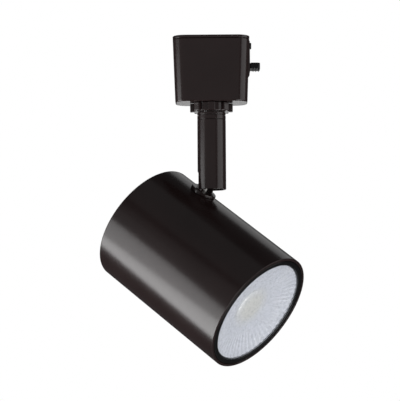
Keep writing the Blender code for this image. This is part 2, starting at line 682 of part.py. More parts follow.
def build_lock_slider():
    plate_outer = CAVITY_HALF_LENGTH - GAP
    plate_inner = plate_outer - SLIDER_PLATE
    plate_bottom = PADDLE_TOP - PADDLE_THICKNESS - 4.0 * MM
    plate = box_shape((plate_inner, -PADDLE_NECK_WIDTH / 2 - SLIDER_PLATE_EDGE, plate_bottom),
                      (plate_outer, PADDLE_NECK_WIDTH / 2 + SLIDER_PLATE_EDGE, NUB_TOP + 0.2 * MM))
    nub = box_shape((plate_outer - 0.3 * MM, -NUB_WIDTH / 2, NUB_TOP - NUB_HEIGHT),
                    (PAD_FACE_X + NUB_PROUD, NUB_WIDTH / 2, NUB_TOP), 0.35 * MM, 2)
    neck = box_shape((plate_outer - 0.3 * MM, -PADDLE_NECK_WIDTH / 2, PADDLE_TOP - PADDLE_THICKNESS),
                     (PAD_FACE_X + 1.5 * MM, PADDLE_NECK_WIDTH / 2, PADDLE_TOP))
    paddle = box_shape((PAD_FACE_X + GAP, -PADDLE_WIDTH / 2, PADDLE_TOP - PADDLE_THICKNESS),
                       (PADDLE_REACH, PADDLE_WIDTH / 2, PADDLE_TOP), 0.45 * MM, 2)
    ribs = []
    for number in range(3):
        x = PAD_FACE_X + 1.6 * MM + number * 1.5 * MM
        ribs.append(box_shape((x, -PADDLE_WIDTH / 2 + 1 * MM, PADDLE_TOP - PADDLE_THICKNESS - PADDLE_RIB),
                              (x + 0.6 * MM, PADDLE_WIDTH / 2 - 1 * MM, PADDLE_TOP - 1 * MM)))
    foot = box_shape((plate_outer - SLIDER_FOOT, -2.6 * MM, plate_bottom),
                     (plate_outer, 2.6 * MM, plate_bottom + SLIDER_PLATE))
    body = unite(plate, nub, neck, paddle, *ribs, foot)
    add_part("lock_slider", body, BLACK_PLASTIC)
    spring_x = plate_outer - SLIDER_FOOT / 2
    coil = coil_points(LOCK_SPRING_RADIUS - LOCK_SPRING_WIRE / 2,
                       FLOOR_TOP + GAP + LOCK_SPRING_WIRE / 2,
                       plate_bottom - GAP - LOCK_SPRING_WIRE / 2, 5, spring_x)
    add_part("lock_spring", wire_shape(coil, LOCK_SPRING_WIRE / 2, 1), STEEL)


def build_adapter_leads():
    top = carrier_bottom() + CARRIER_FLOOR - GAP
    for number, (name, (x, y)) in enumerate(contact_places().items()):
        angle = math.tau * number / 3 + 0.9
        reach = SHAFT_BORE - LEAD_RADIUS - 2 * GAP
        end = (reach * 0.75 * math.cos(angle), reach * 0.75 * math.sin(angle))
        knots = [(x, y, top), (x, y, carrier_bottom() - 3 * MM),
                 (x * 0.6, y * 0.7 + end[1] * 0.3, carrier_bottom() - 8 * MM),
                 (end[0] * 1.2, end[1] * 1.2, SHAFT_TOP + 4 * MM),
                 (end[0], end[1], SHAFT_TOP + GAP)]
        add_part(name + "_lead", wire_shape(smooth_points(knots), LEAD_RADIUS, 1), LEAD_WHITE)


# ================================================================================================
# Swivel and stem
# ================================================================================================
def build_swivel_socket():
    sleeve_top = FLOOR_TOP - GAP
    profile = [(SOCKET_BORE, sleeve_top), (SLEEVE_OUTER, sleeve_top), (SLEEVE_OUTER, SOCKET_TOP),
               (SOCKET_CORE_RADIUS, SOCKET_TOP), (SOCKET_CORE_RADIUS, SOCKET_BOTTOM),
               (SOCKET_BORE, SOCKET_BOTTOM)]
    core = turned_shape(profile, MEDIUM, closed=True)
    rib = box_shape((SLEEVE_OUTER, -SOCKET_RIB_WIDTH / 2, SOCKET_BOTTOM),
                    (SOCKET_RIB_RADIUS, SOCKET_RIB_WIDTH / 2, SOCKET_TOP), 0.3 * MM, 1)
    turns = [math.tau * number / SOCKET_RIBS for number in range(SOCKET_RIBS)]
    ribs = [moved(rib, turn=angle) for angle in turns]
    add_part("swivel_socket", unite(core, *ribs), BLACK_PLASTIC)


def build_thrust_washer():
    washer = ring_shape(SHAFT_RADIUS + GAP, WASHER_RADIUS, WASHER_BOTTOM,
                        WASHER_BOTTOM + WASHER_THICKNESS, MEDIUM)
    add_part("thrust_washer", washer, WHITE_PLASTIC)


def build_swivel_shaft(pan_axis):
    bottom = SPIGOT_BOTTOM
    shaft = ring_shape(SHAFT_BORE, SHAFT_RADIUS, bottom, SHAFT_TOP, 32, 0.4 * MM)
    hole = cylinder_shape(STOP_PIN_RADIUS + GAP, 0.0, SHAFT_RADIUS + 2 * MM, "X", (0.0, STOP_PIN_Z), 12)
    add_part("swivel_shaft", cut(shaft, hole), STEEL, pan_axis)
    pin = cylinder_shape(STOP_PIN_RADIUS, SHAFT_BORE + 0.2 * MM, STOP_PIN_REACH, "X", (0.0, STOP_PIN_Z), 12)
    add_part("stop_pin", pin, STEEL, pan_axis)


def build_lock_nut(pan_axis):
    corner_radius = NUT_FLATS / 2 / math.cos(math.pi / 6)
    nut = cylinder_shape(corner_radius, NUT_BOTTOM, NUT_TOP, sides=6)
    hole = cylinder_shape(SHAFT_RADIUS + GAP, NUT_BOTTOM - 1 * MM, NUT_TOP + 1 * MM, sides=32)
    add_part("lock_nut", cut(nut, hole), BRASS, pan_axis)


def build_stem_cap(pan_axis):
    groove_top = CAP_TOP - CAP_RIM
    groove_bottom = groove_top - CAP_GROOVE
    groove_radius = STEM_RADIUS - CAP_GROOVE_DEPTH
    spigot = STEM_BORE - GAP
    edge = 0.25 * MM
    bore = SHAFT_RADIUS + GAP
    profile = [(bore, CAP_TOP), (STEM_RADIUS - edge, CAP_TOP), (STEM_RADIUS, CAP_TOP - edge),
               (STEM_RADIUS, groove_top), (groove_radius, groove_top), (groove_radius, groove_bottom),
               (STEM_RADIUS, groove_bottom), (STEM_RADIUS, CAP_BOTTOM), (spigot, CAP_BOTTOM),
               (spigot, SPIGOT_BOTTOM), (bore, SPIGOT_BOTTOM)]
    add_part("stem_cap", turned_shape(profile, MEDIUM, closed=True), BRONZE, pan_axis)


def build_stem_tube(pan_axis):
    edge = 0.3 * MM
    profile = [(STEM_BORE, STEM_TOP), (STEM_RADIUS, STEM_TOP), (STEM_RADIUS, STEM_BOTTOM + edge),
               (STEM_RADIUS - edge, STEM_BOTTOM), (STEM_BORE, STEM_BOTTOM)]
    tube = turned_shape(profile, MEDIUM, closed=True)
    notch_top = PIVOT_Z + NOTCH_ABOVE_PIVOT
    half = NOTCH_HALF_WIDTH
    flat_half = half - NOTCH_CORNER
    outline = [(-half, STEM_BOTTOM - 2 * MM), (half, STEM_BOTTOM - 2 * MM)]
    for step in range(7):
        angle = math.pi / 2 * step / 6
        outline.append((flat_half + NOTCH_CORNER * math.cos(angle),
                        notch_top - NOTCH_CORNER + NOTCH_CORNER * math.sin(angle)))
    for step in range(7):
        angle = math.pi / 2 + math.pi / 2 * step / 6
        outline.append((-flat_half + NOTCH_CORNER * math.cos(angle),
                        notch_top - NOTCH_CORNER + NOTCH_CORNER * math.sin(angle)))
    length = 12 * MM
    notch = prism_shape(outline, length, axis="Y")
    notch.transform(Matrix.Rotation(math.pi / 2, 4, "Z"))
    notch.transform(Matrix.Translation((-NOTCH_START - length / 2, 0, 0)))
    add_part("stem_tube", cut(tube, notch), BRONZE, pan_axis)


def build_swivel_block(tilt_frame):
    """The plug in the stem whose two cheeks carry the tilt pin, with a way past it for the wires."""
    radius = STEM_BORE - GAP
    body = cylinder_shape(radius, BLOCK_BASE, BLOCK_BASE + BLOCK_HEIGHT, sides=MEDIUM)
    cheeks = [lug_shape(CHEEK_HALF_WIDTH, BLOCK_BASE + 1 * MM, side * CHEEK_INNER, side * CHEEK_OUTER)
              for side in (-1, 1)]
    block = unite(body, *cheeks)
    pin_hole = cylinder_shape(PIN_RADIUS + GAP, -radius, radius, "Y", sides=SMALL)
    wire_way = cylinder_shape(SLEEVE_RADIUS + SLIP, BLOCK_BASE - 2 * MM, BLOCK_BASE + BLOCK_HEIGHT + 1 * MM,
                              sides=SMALL)
    add_part("swivel_block", cut(block, pin_hole, wire_way), STEEL, tilt_frame)


def build_pivot_pin(tilt_frame):
    pin = cylinder_shape(PIN_RADIUS, -PIN_HALF_LENGTH, PIN_HALF_LENGTH, "Y", sides=SMALL)
    add_part("pivot_pin", pin, STEEL, tilt_frame)


def build_stem_leads(tilt_frame):
    top = SPIGOT_BOTTOM - PIVOT_Z + 2 * MM
    bottom = BLOCK_BASE - 2.2 * MM
    sleeve = wire_shape([(0, 0, top), (0, 0, (top + bottom) / 2), (0, 0, bottom)], SLEEVE_RADIUS)
    add_part("stem_lead_sleeve", sleeve, LEAD_WHITE, tilt_frame)


# ================================================================================================
# Tilt bracket, in the tilt frame: X to the front of the head, Y along the pin, Z away from the head
# ================================================================================================
def head_cylinder(radius):
    """A cylinder on the head's axis, in the tilt frame."""
    return cylinder_shape(radius, -2 * BASE_RADIUS, 2 * BASE_RADIUS, "X", (0.0, -PIVOT_TO_AXIS), 144)


def build_tilt_bracket(tilt_axis):
    base = cylinder_shape(BASE_RADIUS, BASE_TOP - 4.5 * MM, BASE_TOP, sides=MEDIUM)
    base = cut(base, head_cylinder(HEAD_RADIUS + GAP))
    lugs = [lug_shape(LUG_WIDTH / 2, BASE_TOP - 1 * MM, side * LUG_INNER, side * LUG_OUTER)
            for side in (-1, 1)]
    bracket = unite(base, *lugs)
    cutters = [cylinder_shape(PIN_RADIUS + GAP, -STEM_RADIUS, STEM_RADIUS, "Y", sides=SMALL)]
    cutters.append(cylinder_shape(BUSHING_RADIUS + GAP, BASE_TOP - 8 * MM, BASE_TOP + 1 * MM))
    for side in (-1, 1):
        cutters.append(cylinder_shape(BRACKET_SCREW_RADIUS + GAP, BASE_TOP - 8 * MM, BASE_TOP - 0.5 * MM,
                                      centre=(side * BRACKET_SCREW_SPACING / 2, 0.0), sides=16))
    add_part("tilt_bracket", cut(bracket, *cutters), BRONZE, tilt_axis)


def build_tilt_washers(tilt_axis):
    washers = []
    for side in (-1, 1):
        middle = side * (CHEEK_OUTER + GAP + TILT_WASHER / 2)
        washer = ring_shape(PIN_RADIUS + GAP, EYE_RADIUS - 0.2 * MM, -TILT_WASHER / 2, TILT_WASHER / 2, SMALL)
        washer.transform(Matrix.Translation((0, middle, 0)) @ Matrix.Rotation(math.pi / 2, 4, "X"))
        washers.append(washer)
    add_numbered_parts("tilt_washer", washers, STEEL, tilt_axis)


def build_bracket_screws(tilt_axis):
    wall_inside = -PIVOT_TO_AXIS + REAR_BORE
    head = 1.6 * MM
    length = BASE_TOP - 0.5 * MM - GAP - (wall_inside - GAP - head)
    screw = screw_shape(2.1 * MM, BRACKET_SCREW_RADIUS, head, length)
    screw.transform(Matrix.Rotation(math.pi, 4, "X"))
    z = wall_inside - GAP - head
    screws = [moved(screw, side * BRACKET_SCREW_SPACING / 2, 0.0, z) for side in (-1, 1)]
    add_numbered_parts("bracket_screw", screws, STEEL, tilt_axis)


def build_lead_bushing(tilt_axis):
    inside = -PIVOT_TO_AXIS + REAR_BORE - 1.5 * MM
    bushing = ring_shape(BUSHING_BORE, BUSHING_RADIUS, inside, BASE_TOP - 0.2 * MM, SMALL)
    add_part("lead_bushing", bushing, RUBBER, tilt_axis)


# ================================================================================================
# Head, in the head frame: Z along the head from its rear plane, -X towards the stem
# ================================================================================================
def head_screw_angles():
    return [math.tau * number / SCREW_COUNT for number in range(SCREW_COUNT)]


def on_boss_circle(shape, z=0.0):
    return [moved(shape, BOSS_CIRCLE * math.cos(a), BOSS_CIRCLE * math.sin(a), z, a)
            for a in head_screw_angles()]


def build_head_housing(head_axis):
    shoulder = SINK_BACK - GAP
    profile = [
        (HEAD_BORE, HEAD_LENGTH), (HEAD_RADIUS - FRONT_EDGE, HEAD_LENGTH),
        (HEAD_RADIUS, HEAD_LENGTH - FRONT_EDGE),
    ]
    for step in range(4):
        angle = math.pi / 2 * step / 3
        profile.append((HEAD_RADIUS - REAR_EDGE + REAR_EDGE * math.cos(angle),
                        REAR_EDGE - REAR_EDGE * math.sin(angle)))
    ledge = HEAD_BORE - REAR_LEDGE
    profile += [
        (HEAD_BORE, 0.0), (HEAD_BORE, LEDGE_START), (ledge, LEDGE_START), (ledge, LEDGE_START + 1.5 * MM),
        (REAR_BORE, LEDGE_START + 3.0 * MM), (REAR_BORE, shoulder),
        (HEAD_BORE, shoulder),
    ]
    shell = turned_shape(profile, ROUND, closed=True)
    boss = cylinder_shape(BOSS_RADIUS, LEDGE_START, LEDGE_START + BOSS_LENGTH, sides=16)
    sink_boss = cylinder_shape(BOSS_RADIUS, shoulder - BOSS_LENGTH, shoulder, sides=16)
    shell = unite(shell, *on_boss_circle(boss), *on_boss_circle(sink_boss))
    hole = cylinder_shape(HEAD_SCREW_RADIUS + GAP, LEDGE_START - 1 * MM,
                          LEDGE_START + BOSS_LENGTH + 1 * MM, sides=12)
    sink_hole = cylinder_shape(HEAD_SCREW_RADIUS + GAP, shoulder - BOSS_LENGTH - 1 * MM,
                               shoulder + 1 * MM, sides=12)
    cutters = on_boss_circle(hole) + on_boss_circle(sink_hole)
    for offset in (-BRACKET_SCREW_SPACING / 2, BRACKET_SCREW_SPACING / 2):
        cutters.append(cylinder_shape(BRACKET_SCREW_RADIUS + GAP, -HEAD_RADIUS - 1 * MM,
                                      -HEAD_BORE + 3 * MM, "X", (0.0, PIVOT_TO_REAR + offset), 16))
    cutters.append(cylinder_shape(BUSHING_RADIUS + GAP, -HEAD_RADIUS - 1 * MM, -HEAD_BORE + 3 * MM,
                                  "X", (0.0, PIVOT_TO_REAR)))
    add_part("head_housing", cut(shell, *cutters), BRONZE, head_axis)


def build_rear_cap(head_axis):
    cap = ring_shape(3.0 * MM, HEAD_BORE - GAP, REAR_RECESS, REAR_CAP_TOP, ROUND, 0.4 * MM)
    plug = cylinder_shape(3.5 * MM, REAR_RECESS + 0.4 * MM, REAR_CAP_TOP, sides=24)
    cap = unite(cap, plug)
    slot = box_shape((VENT_INNER, -VENT_WIDTH / 2, 0.0), (VENT_OUTER, VENT_WIDTH / 2, 6 * MM))
    slots = [moved(slot, turn=math.tau * number / VENT_COUNT) for number in range(VENT_COUNT)]
    hole = cylinder_shape(HEAD_SCREW_RADIUS + GAP, 0.0, 6 * MM, sides=12)
    recess = cylinder_shape(HEAD_SCREW_HEAD + GAP, 0.0, REAR_RECESS + 1.2 * MM, sides=16)
    add_part("rear_cap", cut(cap, *slots, *on_boss_circle(hole), *on_boss_circle(recess)), BRONZE, head_axis)


def build_rear_cap_screws(head_axis):
    screw = screw_shape(HEAD_SCREW_HEAD, HEAD_SCREW_RADIUS, 1.1 * MM, HEAD_SCREW_LENGTH)
    screw.transform(Matrix.Rotation(math.pi, 4, "X"))
    screws = on_boss_circle(screw, REAR_RECESS - 0.2 * MM)
    add_numbered_parts("rear_cap_screw", screws, STEEL, head_axis)


def build_heat_sink(head_axis):
    plate = cylinder_shape(HEAD_BORE - SLIP, SINK_BACK, SINK_FACE, sides=ROUND)
    fins = []
    for number in range(SINK_FIN_COUNT):
        x = (number - (SINK_FIN_COUNT - 1) / 2) * SINK_FIN_PITCH
        reach = math.sqrt((BOSS_CIRCLE - BOSS_RADIUS - 1 * MM) ** 2 - x * x)
        fins.append(box_shape((x - SINK_FIN_THICKNESS / 2, -reach, SINK_BACK - SINK_FIN_DEPTH),
                              (x + SINK_FIN_THICKNESS / 2, reach, SINK_BACK + 1 * MM)))
    hole = cylinder_shape(HEAD_SCREW_RADIUS + GAP, SINK_BACK - 1 * MM, SINK_FACE + 1 * MM, sides=12)
    board_hole = cylinder_shape(HEAD_SCREW_RADIUS + GAP, SINK_BACK + 1 * MM, SINK_FACE + 1 * MM, sides=12)
    wire_hole = cylinder_shape(2.2 * MM, SINK_BACK - 1 * MM, SINK_FACE + 1 * MM, centre=(led_lead_x(), 0.0),
                               sides=16)
    cutters = on_boss_circle(hole) + [wire_hole]
    cutters += [moved(board_hole, y=side * led_screw_y()) for side in (-1, 1)]
    add_part("heat_sink", cut(unite(plate, *fins), *cutters), ALUMINIUM, head_axis)


def led_lead_x():
    """The LED lead passes the heat sink midway between two fins, beside the LED board."""
    return -2.5 * SINK_FIN_PITCH


def led_screw_y():
    return LED_BOARD_RADIUS - 2.8 * MM


def build_sink_screws(head_axis):
    screw = screw_shape(HEAD_SCREW_HEAD, HEAD_SCREW_RADIUS, 1.2 * MM, HEAD_SCREW_LENGTH + SINK_PLATE)
    screws = on_boss_circle(screw, SINK_FACE + 1.2 * MM + GAP)
    add_numbered_parts("sink_screw", screws, STEEL, head_axis)


def build_led_board(head_axis):
    board = cylinder_shape(LED_BOARD_RADIUS, LED_BOARD_BACK, LED_BOARD_FACE, sides=MEDIUM)
    hole = cylinder_shape(HEAD_SCREW_RADIUS + GAP, SINK_FACE - 1 * MM, LED_BOARD_FACE + 1 * MM, sides=12)
    board = cut(board, *[moved(hole, y=side * led_screw_y()) for side in (-1, 1)])
    add_part("led_board", board, WHITE_PLASTIC, head_axis)
    emitter = cylinder_shape(EMITTER_RADIUS, LED_BOARD_FACE + GAP, EMITTER_FACE, sides=32)
    add_part("led_emitter", emitter, PHOSPHOR, head_axis)
    screw = screw_shape(1.6 * MM, HEAD_SCREW_RADIUS, 0.5 * MM, 3.0 * MM, sides=14)
    screws = [moved(screw, y=side * led_screw_y(), z=LED_BOARD_FACE + GAP + 0.5 * MM) for side in (-1, 1)]
    add_numbered_parts("led_board_screw", screws, STEEL, head_axis)


def lens_profile():
    """Collimator lens: a curved cone that opens from the emitter to the front face."""
    cone_top = FLANGE_BACK - 0.6 * MM
    profile = [(0, LENS_FACE), (LENS_RADIUS - GAP, LENS_FACE), (LENS_RADIUS - GAP, FLANGE_FRONT),
               (LENS_FLANGE_RADIUS, FLANGE_FRONT), (LENS_FLANGE_RADIUS, FLANGE_BACK),
               (LENS_RADIUS - 1.2 * MM, FLANGE_BACK)]
    steps = 4
    top_radius = LENS_RADIUS - 1.2 * MM
    for step in range(1, steps + 1):
        share = 1 - step / steps
        radius = LENS_NECK_RADIUS + (top_radius - LENS_NECK_RADIUS) * share
        height = LENS_BACK + (cone_top - LENS_BACK) * share ** 1.15
        profile.append((radius, height))
    pocket_top = LENS_BACK + LENS_POCKET_DEPTH
    profile += [(LENS_POCKET_RADIUS, LENS_BACK), (LENS_POCKET_RADIUS - 0.8 * MM, pocket_top)]
    profile += [(LENS_POCKET_RADIUS * 0.5, pocket_top - 0.8 * MM), (0, pocket_top - 1.2 * MM)]
    return profile


def build_optics(head_axis):
    add_part("lens", turned_shape(lens_profile(), ROUND), CLEAR_LENS, head_axis)
    gasket = ring_shape(LENS_RADIUS - 0.6 * MM, LENS_FLANGE_RADIUS, GASKET_BACK, GASKET_FRONT, MEDIUM)
    add_part("lens_gasket", gasket, RUBBER, head_axis)
    screw_notch = cylinder_shape(HEAD_SCREW_HEAD + 2 * GAP, HOLDER_BACK - 1 * MM, HOLDER_BACK + 2.2 * MM,
                                 sides=16)
    holder = ring_shape(HOLDER_RADIUS - HOLDER_WALL, HOLDER_RADIUS, HOLDER_BACK, HOLDER_FRONT, ROUND)
    holder = cut(holder, *on_boss_circle(screw_notch))
    add_part("lens_holder", holder, WHITE_PLASTIC, head_axis)


def build_bezel(head_axis):
    edge = 0.3 * MM
    inner = LENS_RADIUS
    rebate = LENS_FLANGE_RADIUS + GAP
    back = HEAD_LENGTH - BEZEL_DEPTH
    profile = [(inner, HEAD_LENGTH - edge), (inner + edge, HEAD_LENGTH),
               (BEZEL_RADIUS - edge, HEAD_LENGTH), (BEZEL_RADIUS, HEAD_LENGTH - edge),
               (BEZEL_RADIUS, back), (rebate, back), (rebate, HEAD_LENGTH - BEZEL_LIP),
               (inner, HEAD_LENGTH - BEZEL_LIP)]
    add_part("bezel", turned_shape(profile, ROUND, closed=True), BEZEL_BLACK, head_axis)


# ---- driver --------------------------------------------------------------------------------------
def board_face():
    """Height of the driver board's component side, on the X axis of the head frame."""
    return DRIVER_X - STANDOFF_HEIGHT - 2 * GAP - BOARD_THICKNESS


def build_driver_tray(head_axis):
    low = TRAY_END - TRAY_LENGTH
    half = TRAY_WIDTH / 2
    tray = box_shape((DRIVER_X, -half, low), (DRIVER_X + TRAY_THICKNESS, half, TRAY_END))
    rails = [box_shape((DRIVER_X - 2.0 * MM, side * half - 0.8 * MM, low),
                       (DRIVER_X + 1.0 * MM, side * half + 0.8 * MM, TRAY_END)) for side in (-1, 1)]
    standoffs = []
    for side in (-1, 1):
        for end in (low + 4 * MM, TRAY_END - 4 * MM):
            standoffs.append(cylinder_shape(STANDOFF_RADIUS, DRIVER_X - STANDOFF_HEIGHT, DRIVER_X + 0.5 * MM,
                                            "X", (side * (half - BOARD_MARGIN - 3 * MM), end), 12))
    add_part("driver_tray", unite(tray, *rails, *standoffs), WHITE_PLASTIC, head_axis)


def build_driver_board(head_axis):
    low = TRAY_END - TRAY_LENGTH + 1 * MM
    half = TRAY_WIDTH / 2 - BOARD_MARGIN
    face = board_face()
    back = face + BOARD_THICKNESS
    board = box_shape((face, -half, low), (back, half, TRAY_END - 1 * MM))
    add_part("driver_board", board, CIRCUIT_GREEN, head_axis)

    def component(name, y, z, width, length, height, material, bevel):
        shape = box_shape((face - GAP - height, y - width / 2, z - length / 2),
                          (face - GAP, y + width / 2, z + length / 2), bevel, 1)
        add_part(name, shape, material, head_axis)

    middle = TRAY_END - TRAY_LENGTH / 2
    component("transformer", 0.0, middle + 2 * MM, 14 * MM, 13 * MM, 12 * MM, WINDING, 0.8 * MM)
    component("rectifier", -13 * MM, middle + 8 * MM, 7 * MM, 5 * MM, 3 * MM, COMPONENT, 0.3 * MM)
    component("input_terminal", -12 * MM, middle - 10 * MM, 11 * MM, 7 * MM, 8 * MM, WHITE_PLASTIC, 0.4 * MM)
    component("output_terminal", 14 * MM, middle + 11 * MM, 8 * MM, 6 * MM, 6 * MM, WHITE_PLASTIC, 0.4 * MM)
    cans = []
    for y, z, radius in ((14 * MM, middle - 8 * MM, 4 * MM), (14 * MM, middle + 2 * MM, 3.2 * MM)):
        cans.append(cylinder_shape(radius, face - GAP - 11 * MM, face - GAP, "X", (y, z), SMALL))
    add_numbered_parts("capacitor", cans, COMPONENT, head_axis)


def build_head_leads(head_axis):
    start = -HEAD_RADIUS - PIVOT_TO_HEAD + 4.6 * MM
    terminal = board_face() - GAP - 8 * MM
    middle = TRAY_END - TRAY_LENGTH / 2
    knots = [(start, 0, PIVOT_TO_REAR), (-HEAD_BORE + 4 * MM, 0, PIVOT_TO_REAR),
             (-HEAD_BORE + 12 * MM, -4 * MM, PIVOT_TO_REAR - 1 * MM),
             (terminal - 5 * MM, -11 * MM, middle - 9.5 * MM), (terminal - GAP, -12 * MM, middle - 10 * MM)]
    add_part("head_lead_sleeve", wire_shape(smooth_points(knots, 4), SLEEVE_RADIUS), LEAD_WHITE, head_axis)
    out_face = board_face() - GAP - 6 * MM
    x = led_lead_x()
    fin_end = SINK_BACK - SINK_FIN_DEPTH
    route = [(out_face - 2 * GAP, 14 * MM, middle + 11 * MM), (out_face - 4 * MM, 14 * MM, middle + 11 * MM),
             (x / 2, 9 * MM, fin_end - 3.5 * MM), (x, 2 * MM, fin_end - 0.5 * MM),
             (x, 0, SINK_BACK - 4 * MM), (x, 0, SINK_FACE),
             (x + 0.6 * MM, 0, LED_BOARD_FACE + 1.2 * MM),
             (1.4 * MM - LED_BOARD_RADIUS, 0, LED_BOARD_FACE + GAP + LED_LEAD_RADIUS)]
    add_part("led_lead", wire_shape(smooth_points(route, 3), LED_LEAD_RADIUS), LEAD_WHITE, head_axis)


# ================================================================================================
# Assembly
# ================================================================================================
def shade(obj):
    """Round faces shade smooth, and edges sharper than 35 degrees stay crisp."""
    obj.data.shade_smooth()
    obj.data.set_sharp_from_angle(angle=math.radians(35))


def build_adapter():
    build_adapter_housing()
    build_top_cover()
    build_cover_screws()
    build_contact_carrier()
    build_contacts()
    build_lock_slider()
    build_adapter_leads()
    build_swivel_socket()
    build_thrust_washer()


def build_stem():
    """The stem turns on the adapter about Z; the swivel block's frame sits at the tilt pin."""
    pan_axis = add_empty("pan_axis", (0, 0, 0), (0, 0, PAN_ANGLE))
    build_swivel_shaft(pan_axis)
    build_lock_nut(pan_axis)
    build_stem_cap(pan_axis)
    build_stem_tube(pan_axis)
    pin_frame = add_empty("pin_frame", (0, 0, PIVOT_Z), (0, 0, 0), pan_axis)
    build_swivel_block(pin_frame)
    build_pivot_pin(pin_frame)
    build_stem_leads(pin_frame)
    return pin_frame


def build_head(pin_frame):
    """The head tilts about the pin; the head frame stands on the head's rear plane."""
    tilt_axis = add_empty("tilt_axis", (0, 0, 0), (0, TILT_ANGLE, 0), pin_frame)
    build_tilt_bracket(tilt_axis)
    build_tilt_washers(tilt_axis)
    build_bracket_screws(tilt_axis)
    build_lead_bushing(tilt_axis)
    head_axis = add_empty("head_axis", (-PIVOT_TO_REAR, 0, -PIVOT_TO_AXIS), (0, math.pi / 2, 0), tilt_axis)
    build_head_housing(head_axis)
    build_rear_cap(head_axis)
    build_rear_cap_screws(head_axis)
    build_heat_sink(head_axis)
    build_sink_screws(head_axis)
    build_led_board(head_axis)
    build_optics(head_axis)
    build_bezel(head_axis)
    build_driver_tray(head_axis)
    build_driver_board(head_axis)
    build_head_leads(head_axis)


build_adapter()
build_head(build_stem())
for part in PARTS.objects:
    if part.type == "MESH":
        shade(part)
bpy.context.view_layer.update()
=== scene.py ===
import json
import math

import bmesh
import bpy
from mathutils import Matrix, Vector


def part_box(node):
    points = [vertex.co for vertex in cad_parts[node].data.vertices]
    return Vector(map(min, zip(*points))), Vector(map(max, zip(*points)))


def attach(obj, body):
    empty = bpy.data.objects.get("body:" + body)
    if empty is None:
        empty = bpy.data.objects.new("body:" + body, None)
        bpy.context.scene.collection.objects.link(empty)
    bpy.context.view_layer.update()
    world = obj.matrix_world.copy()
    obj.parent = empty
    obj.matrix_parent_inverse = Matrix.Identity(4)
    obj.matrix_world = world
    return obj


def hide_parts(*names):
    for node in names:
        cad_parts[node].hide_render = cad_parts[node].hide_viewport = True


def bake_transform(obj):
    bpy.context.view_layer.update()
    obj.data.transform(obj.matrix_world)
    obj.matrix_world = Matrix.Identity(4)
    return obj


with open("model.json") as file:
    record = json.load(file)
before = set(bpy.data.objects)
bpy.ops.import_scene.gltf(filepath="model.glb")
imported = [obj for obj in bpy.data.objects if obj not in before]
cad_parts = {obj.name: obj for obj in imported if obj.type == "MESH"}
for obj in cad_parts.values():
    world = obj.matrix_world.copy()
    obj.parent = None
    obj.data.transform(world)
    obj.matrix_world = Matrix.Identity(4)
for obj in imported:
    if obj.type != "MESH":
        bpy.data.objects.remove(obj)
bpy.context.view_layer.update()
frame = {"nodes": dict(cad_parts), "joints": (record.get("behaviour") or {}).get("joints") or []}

MM = 0.001
SCENE = bpy.context.scene

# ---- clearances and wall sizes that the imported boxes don't show ------------
GAP = 0.3 * MM
ADAPTER_HEIGHT = 36.6 * MM
ADAPTER_DRAFT = 1.3 * MM
ADAPTER_CORNER = 7.0 * MM
ADAPTER_WALL = 1.8 * MM
ADAPTER_FLOOR = 2.0 * MM
PAD_TOP = -2.6 * MM
PAD_BOTTOM = -22.3 * MM
PAD_RAMP = 2.2 * MM
PAD_HALF_WIDTH = 7.0 * MM
CONTACT_TIP_RADIUS = 1.6 * MM
CONTACT_HOLE_RADIUS = 1.9 * MM
COVER_SCREW_RADIUS = 1.1 * MM
COVER_SCREW_HEAD = 2.2 * MM
COVER_SCREW_LENGTH = 8.6 * MM
COVER_SCREW_CLEARANCE = 0.35 * MM
NUB_WIDTH = 3.2 * MM
NUB_HEIGHT = 3.3 * MM
TAB_PLATE_THICKNESS = 1.2 * MM
TAB_FOOT_LENGTH = 4.6 * MM
TAB_FOOT_HALF_WIDTH = 2.6 * MM
PADDLE_NECK_WIDTH = 7.0 * MM
PADDLE_TOP = -14.7 * MM
PADDLE_THICKNESS = 3.1 * MM
PADDLE_RIBS = 3
PADDLE_RIB_PITCH = 1.5 * MM
PADDLE_RIB_WIDTH = 0.6 * MM
SOCKET_CORE_RADIUS = 10.1 * MM
SOCKET_RIBS = 8
SOCKET_RIB_WIDTH = 3.8 * MM
SOCKET_SLEEVE_WALL = 1.6 * MM
SHAFT_CLEARANCE_RADIUS = 5.3 * MM
STEM_WALL = 1.0 * MM
CAP_RIM = 1.4 * MM
CAP_GROOVE = 0.4 * MM
CAP_GROOVE_DEPTH = 0.6 * MM
CAP_BAND = 2.2 * MM
NOTCH_ABOVE_PIVOT = 2.6 * MM
NOTCH_START = 2.9 * MM
NOTCH_CORNER = 1.2 * MM
NOTCH_SIDE_CLEARANCE = 0.35 * MM
NOTCH_REACH = 12.0 * MM
BLOCK_ABOVE_PIN = 5.0 * MM
CHEEK_INNER = 1.7 * MM
CHEEK_OUTER = 3.4 * MM
CHEEK_HALF_WIDTH = 2.8 * MM
EYE_RADIUS = 3.0 * MM
LUG_INNER = 4.5 * MM
LUG_OUTER = 5.9 * MM
LUG_WIDTH = 3.8 * MM
PIN_RADIUS = 1.25 * MM
PIN_CLEARANCE = 0.15 * MM
BUSHING_RADIUS = 2.5 * MM
BRACKET_SCREW_RADIUS = 1.2 * MM
BRACKET_SCREW_SPACING = 10.0 * MM
BASE_THICKNESS = 1.2 * MM
BASE_STOCK = 4.5 * MM
SLEEVE_RADIUS = 1.2 * MM
HEAD_WALL = 1.6 * MM
REAR_BORE_STEP = 0.4 * MM
SINK_SHOULDER = 4.3 * MM
REAR_LEDGE = 2.0 * MM
LEDGE_START = 3.5 * MM
BOSS_RADIUS = 3.0 * MM
BOSS_LENGTH = 9.0 * MM
HEAD_SCREW_RADIUS = 1.1 * MM
HEAD_SCREW_CLEARANCE = 0.2 * MM
HEAD_SCREW_HEAD = 1.9 * MM
HEAD_SCREW_HEIGHT = 1.1 * MM
HEAD_SCREW_LENGTH = 7.6 * MM
REAR_RECESS_INNER = 9.0 * MM
REAR_RECESS_OUTER = 28.6 * MM
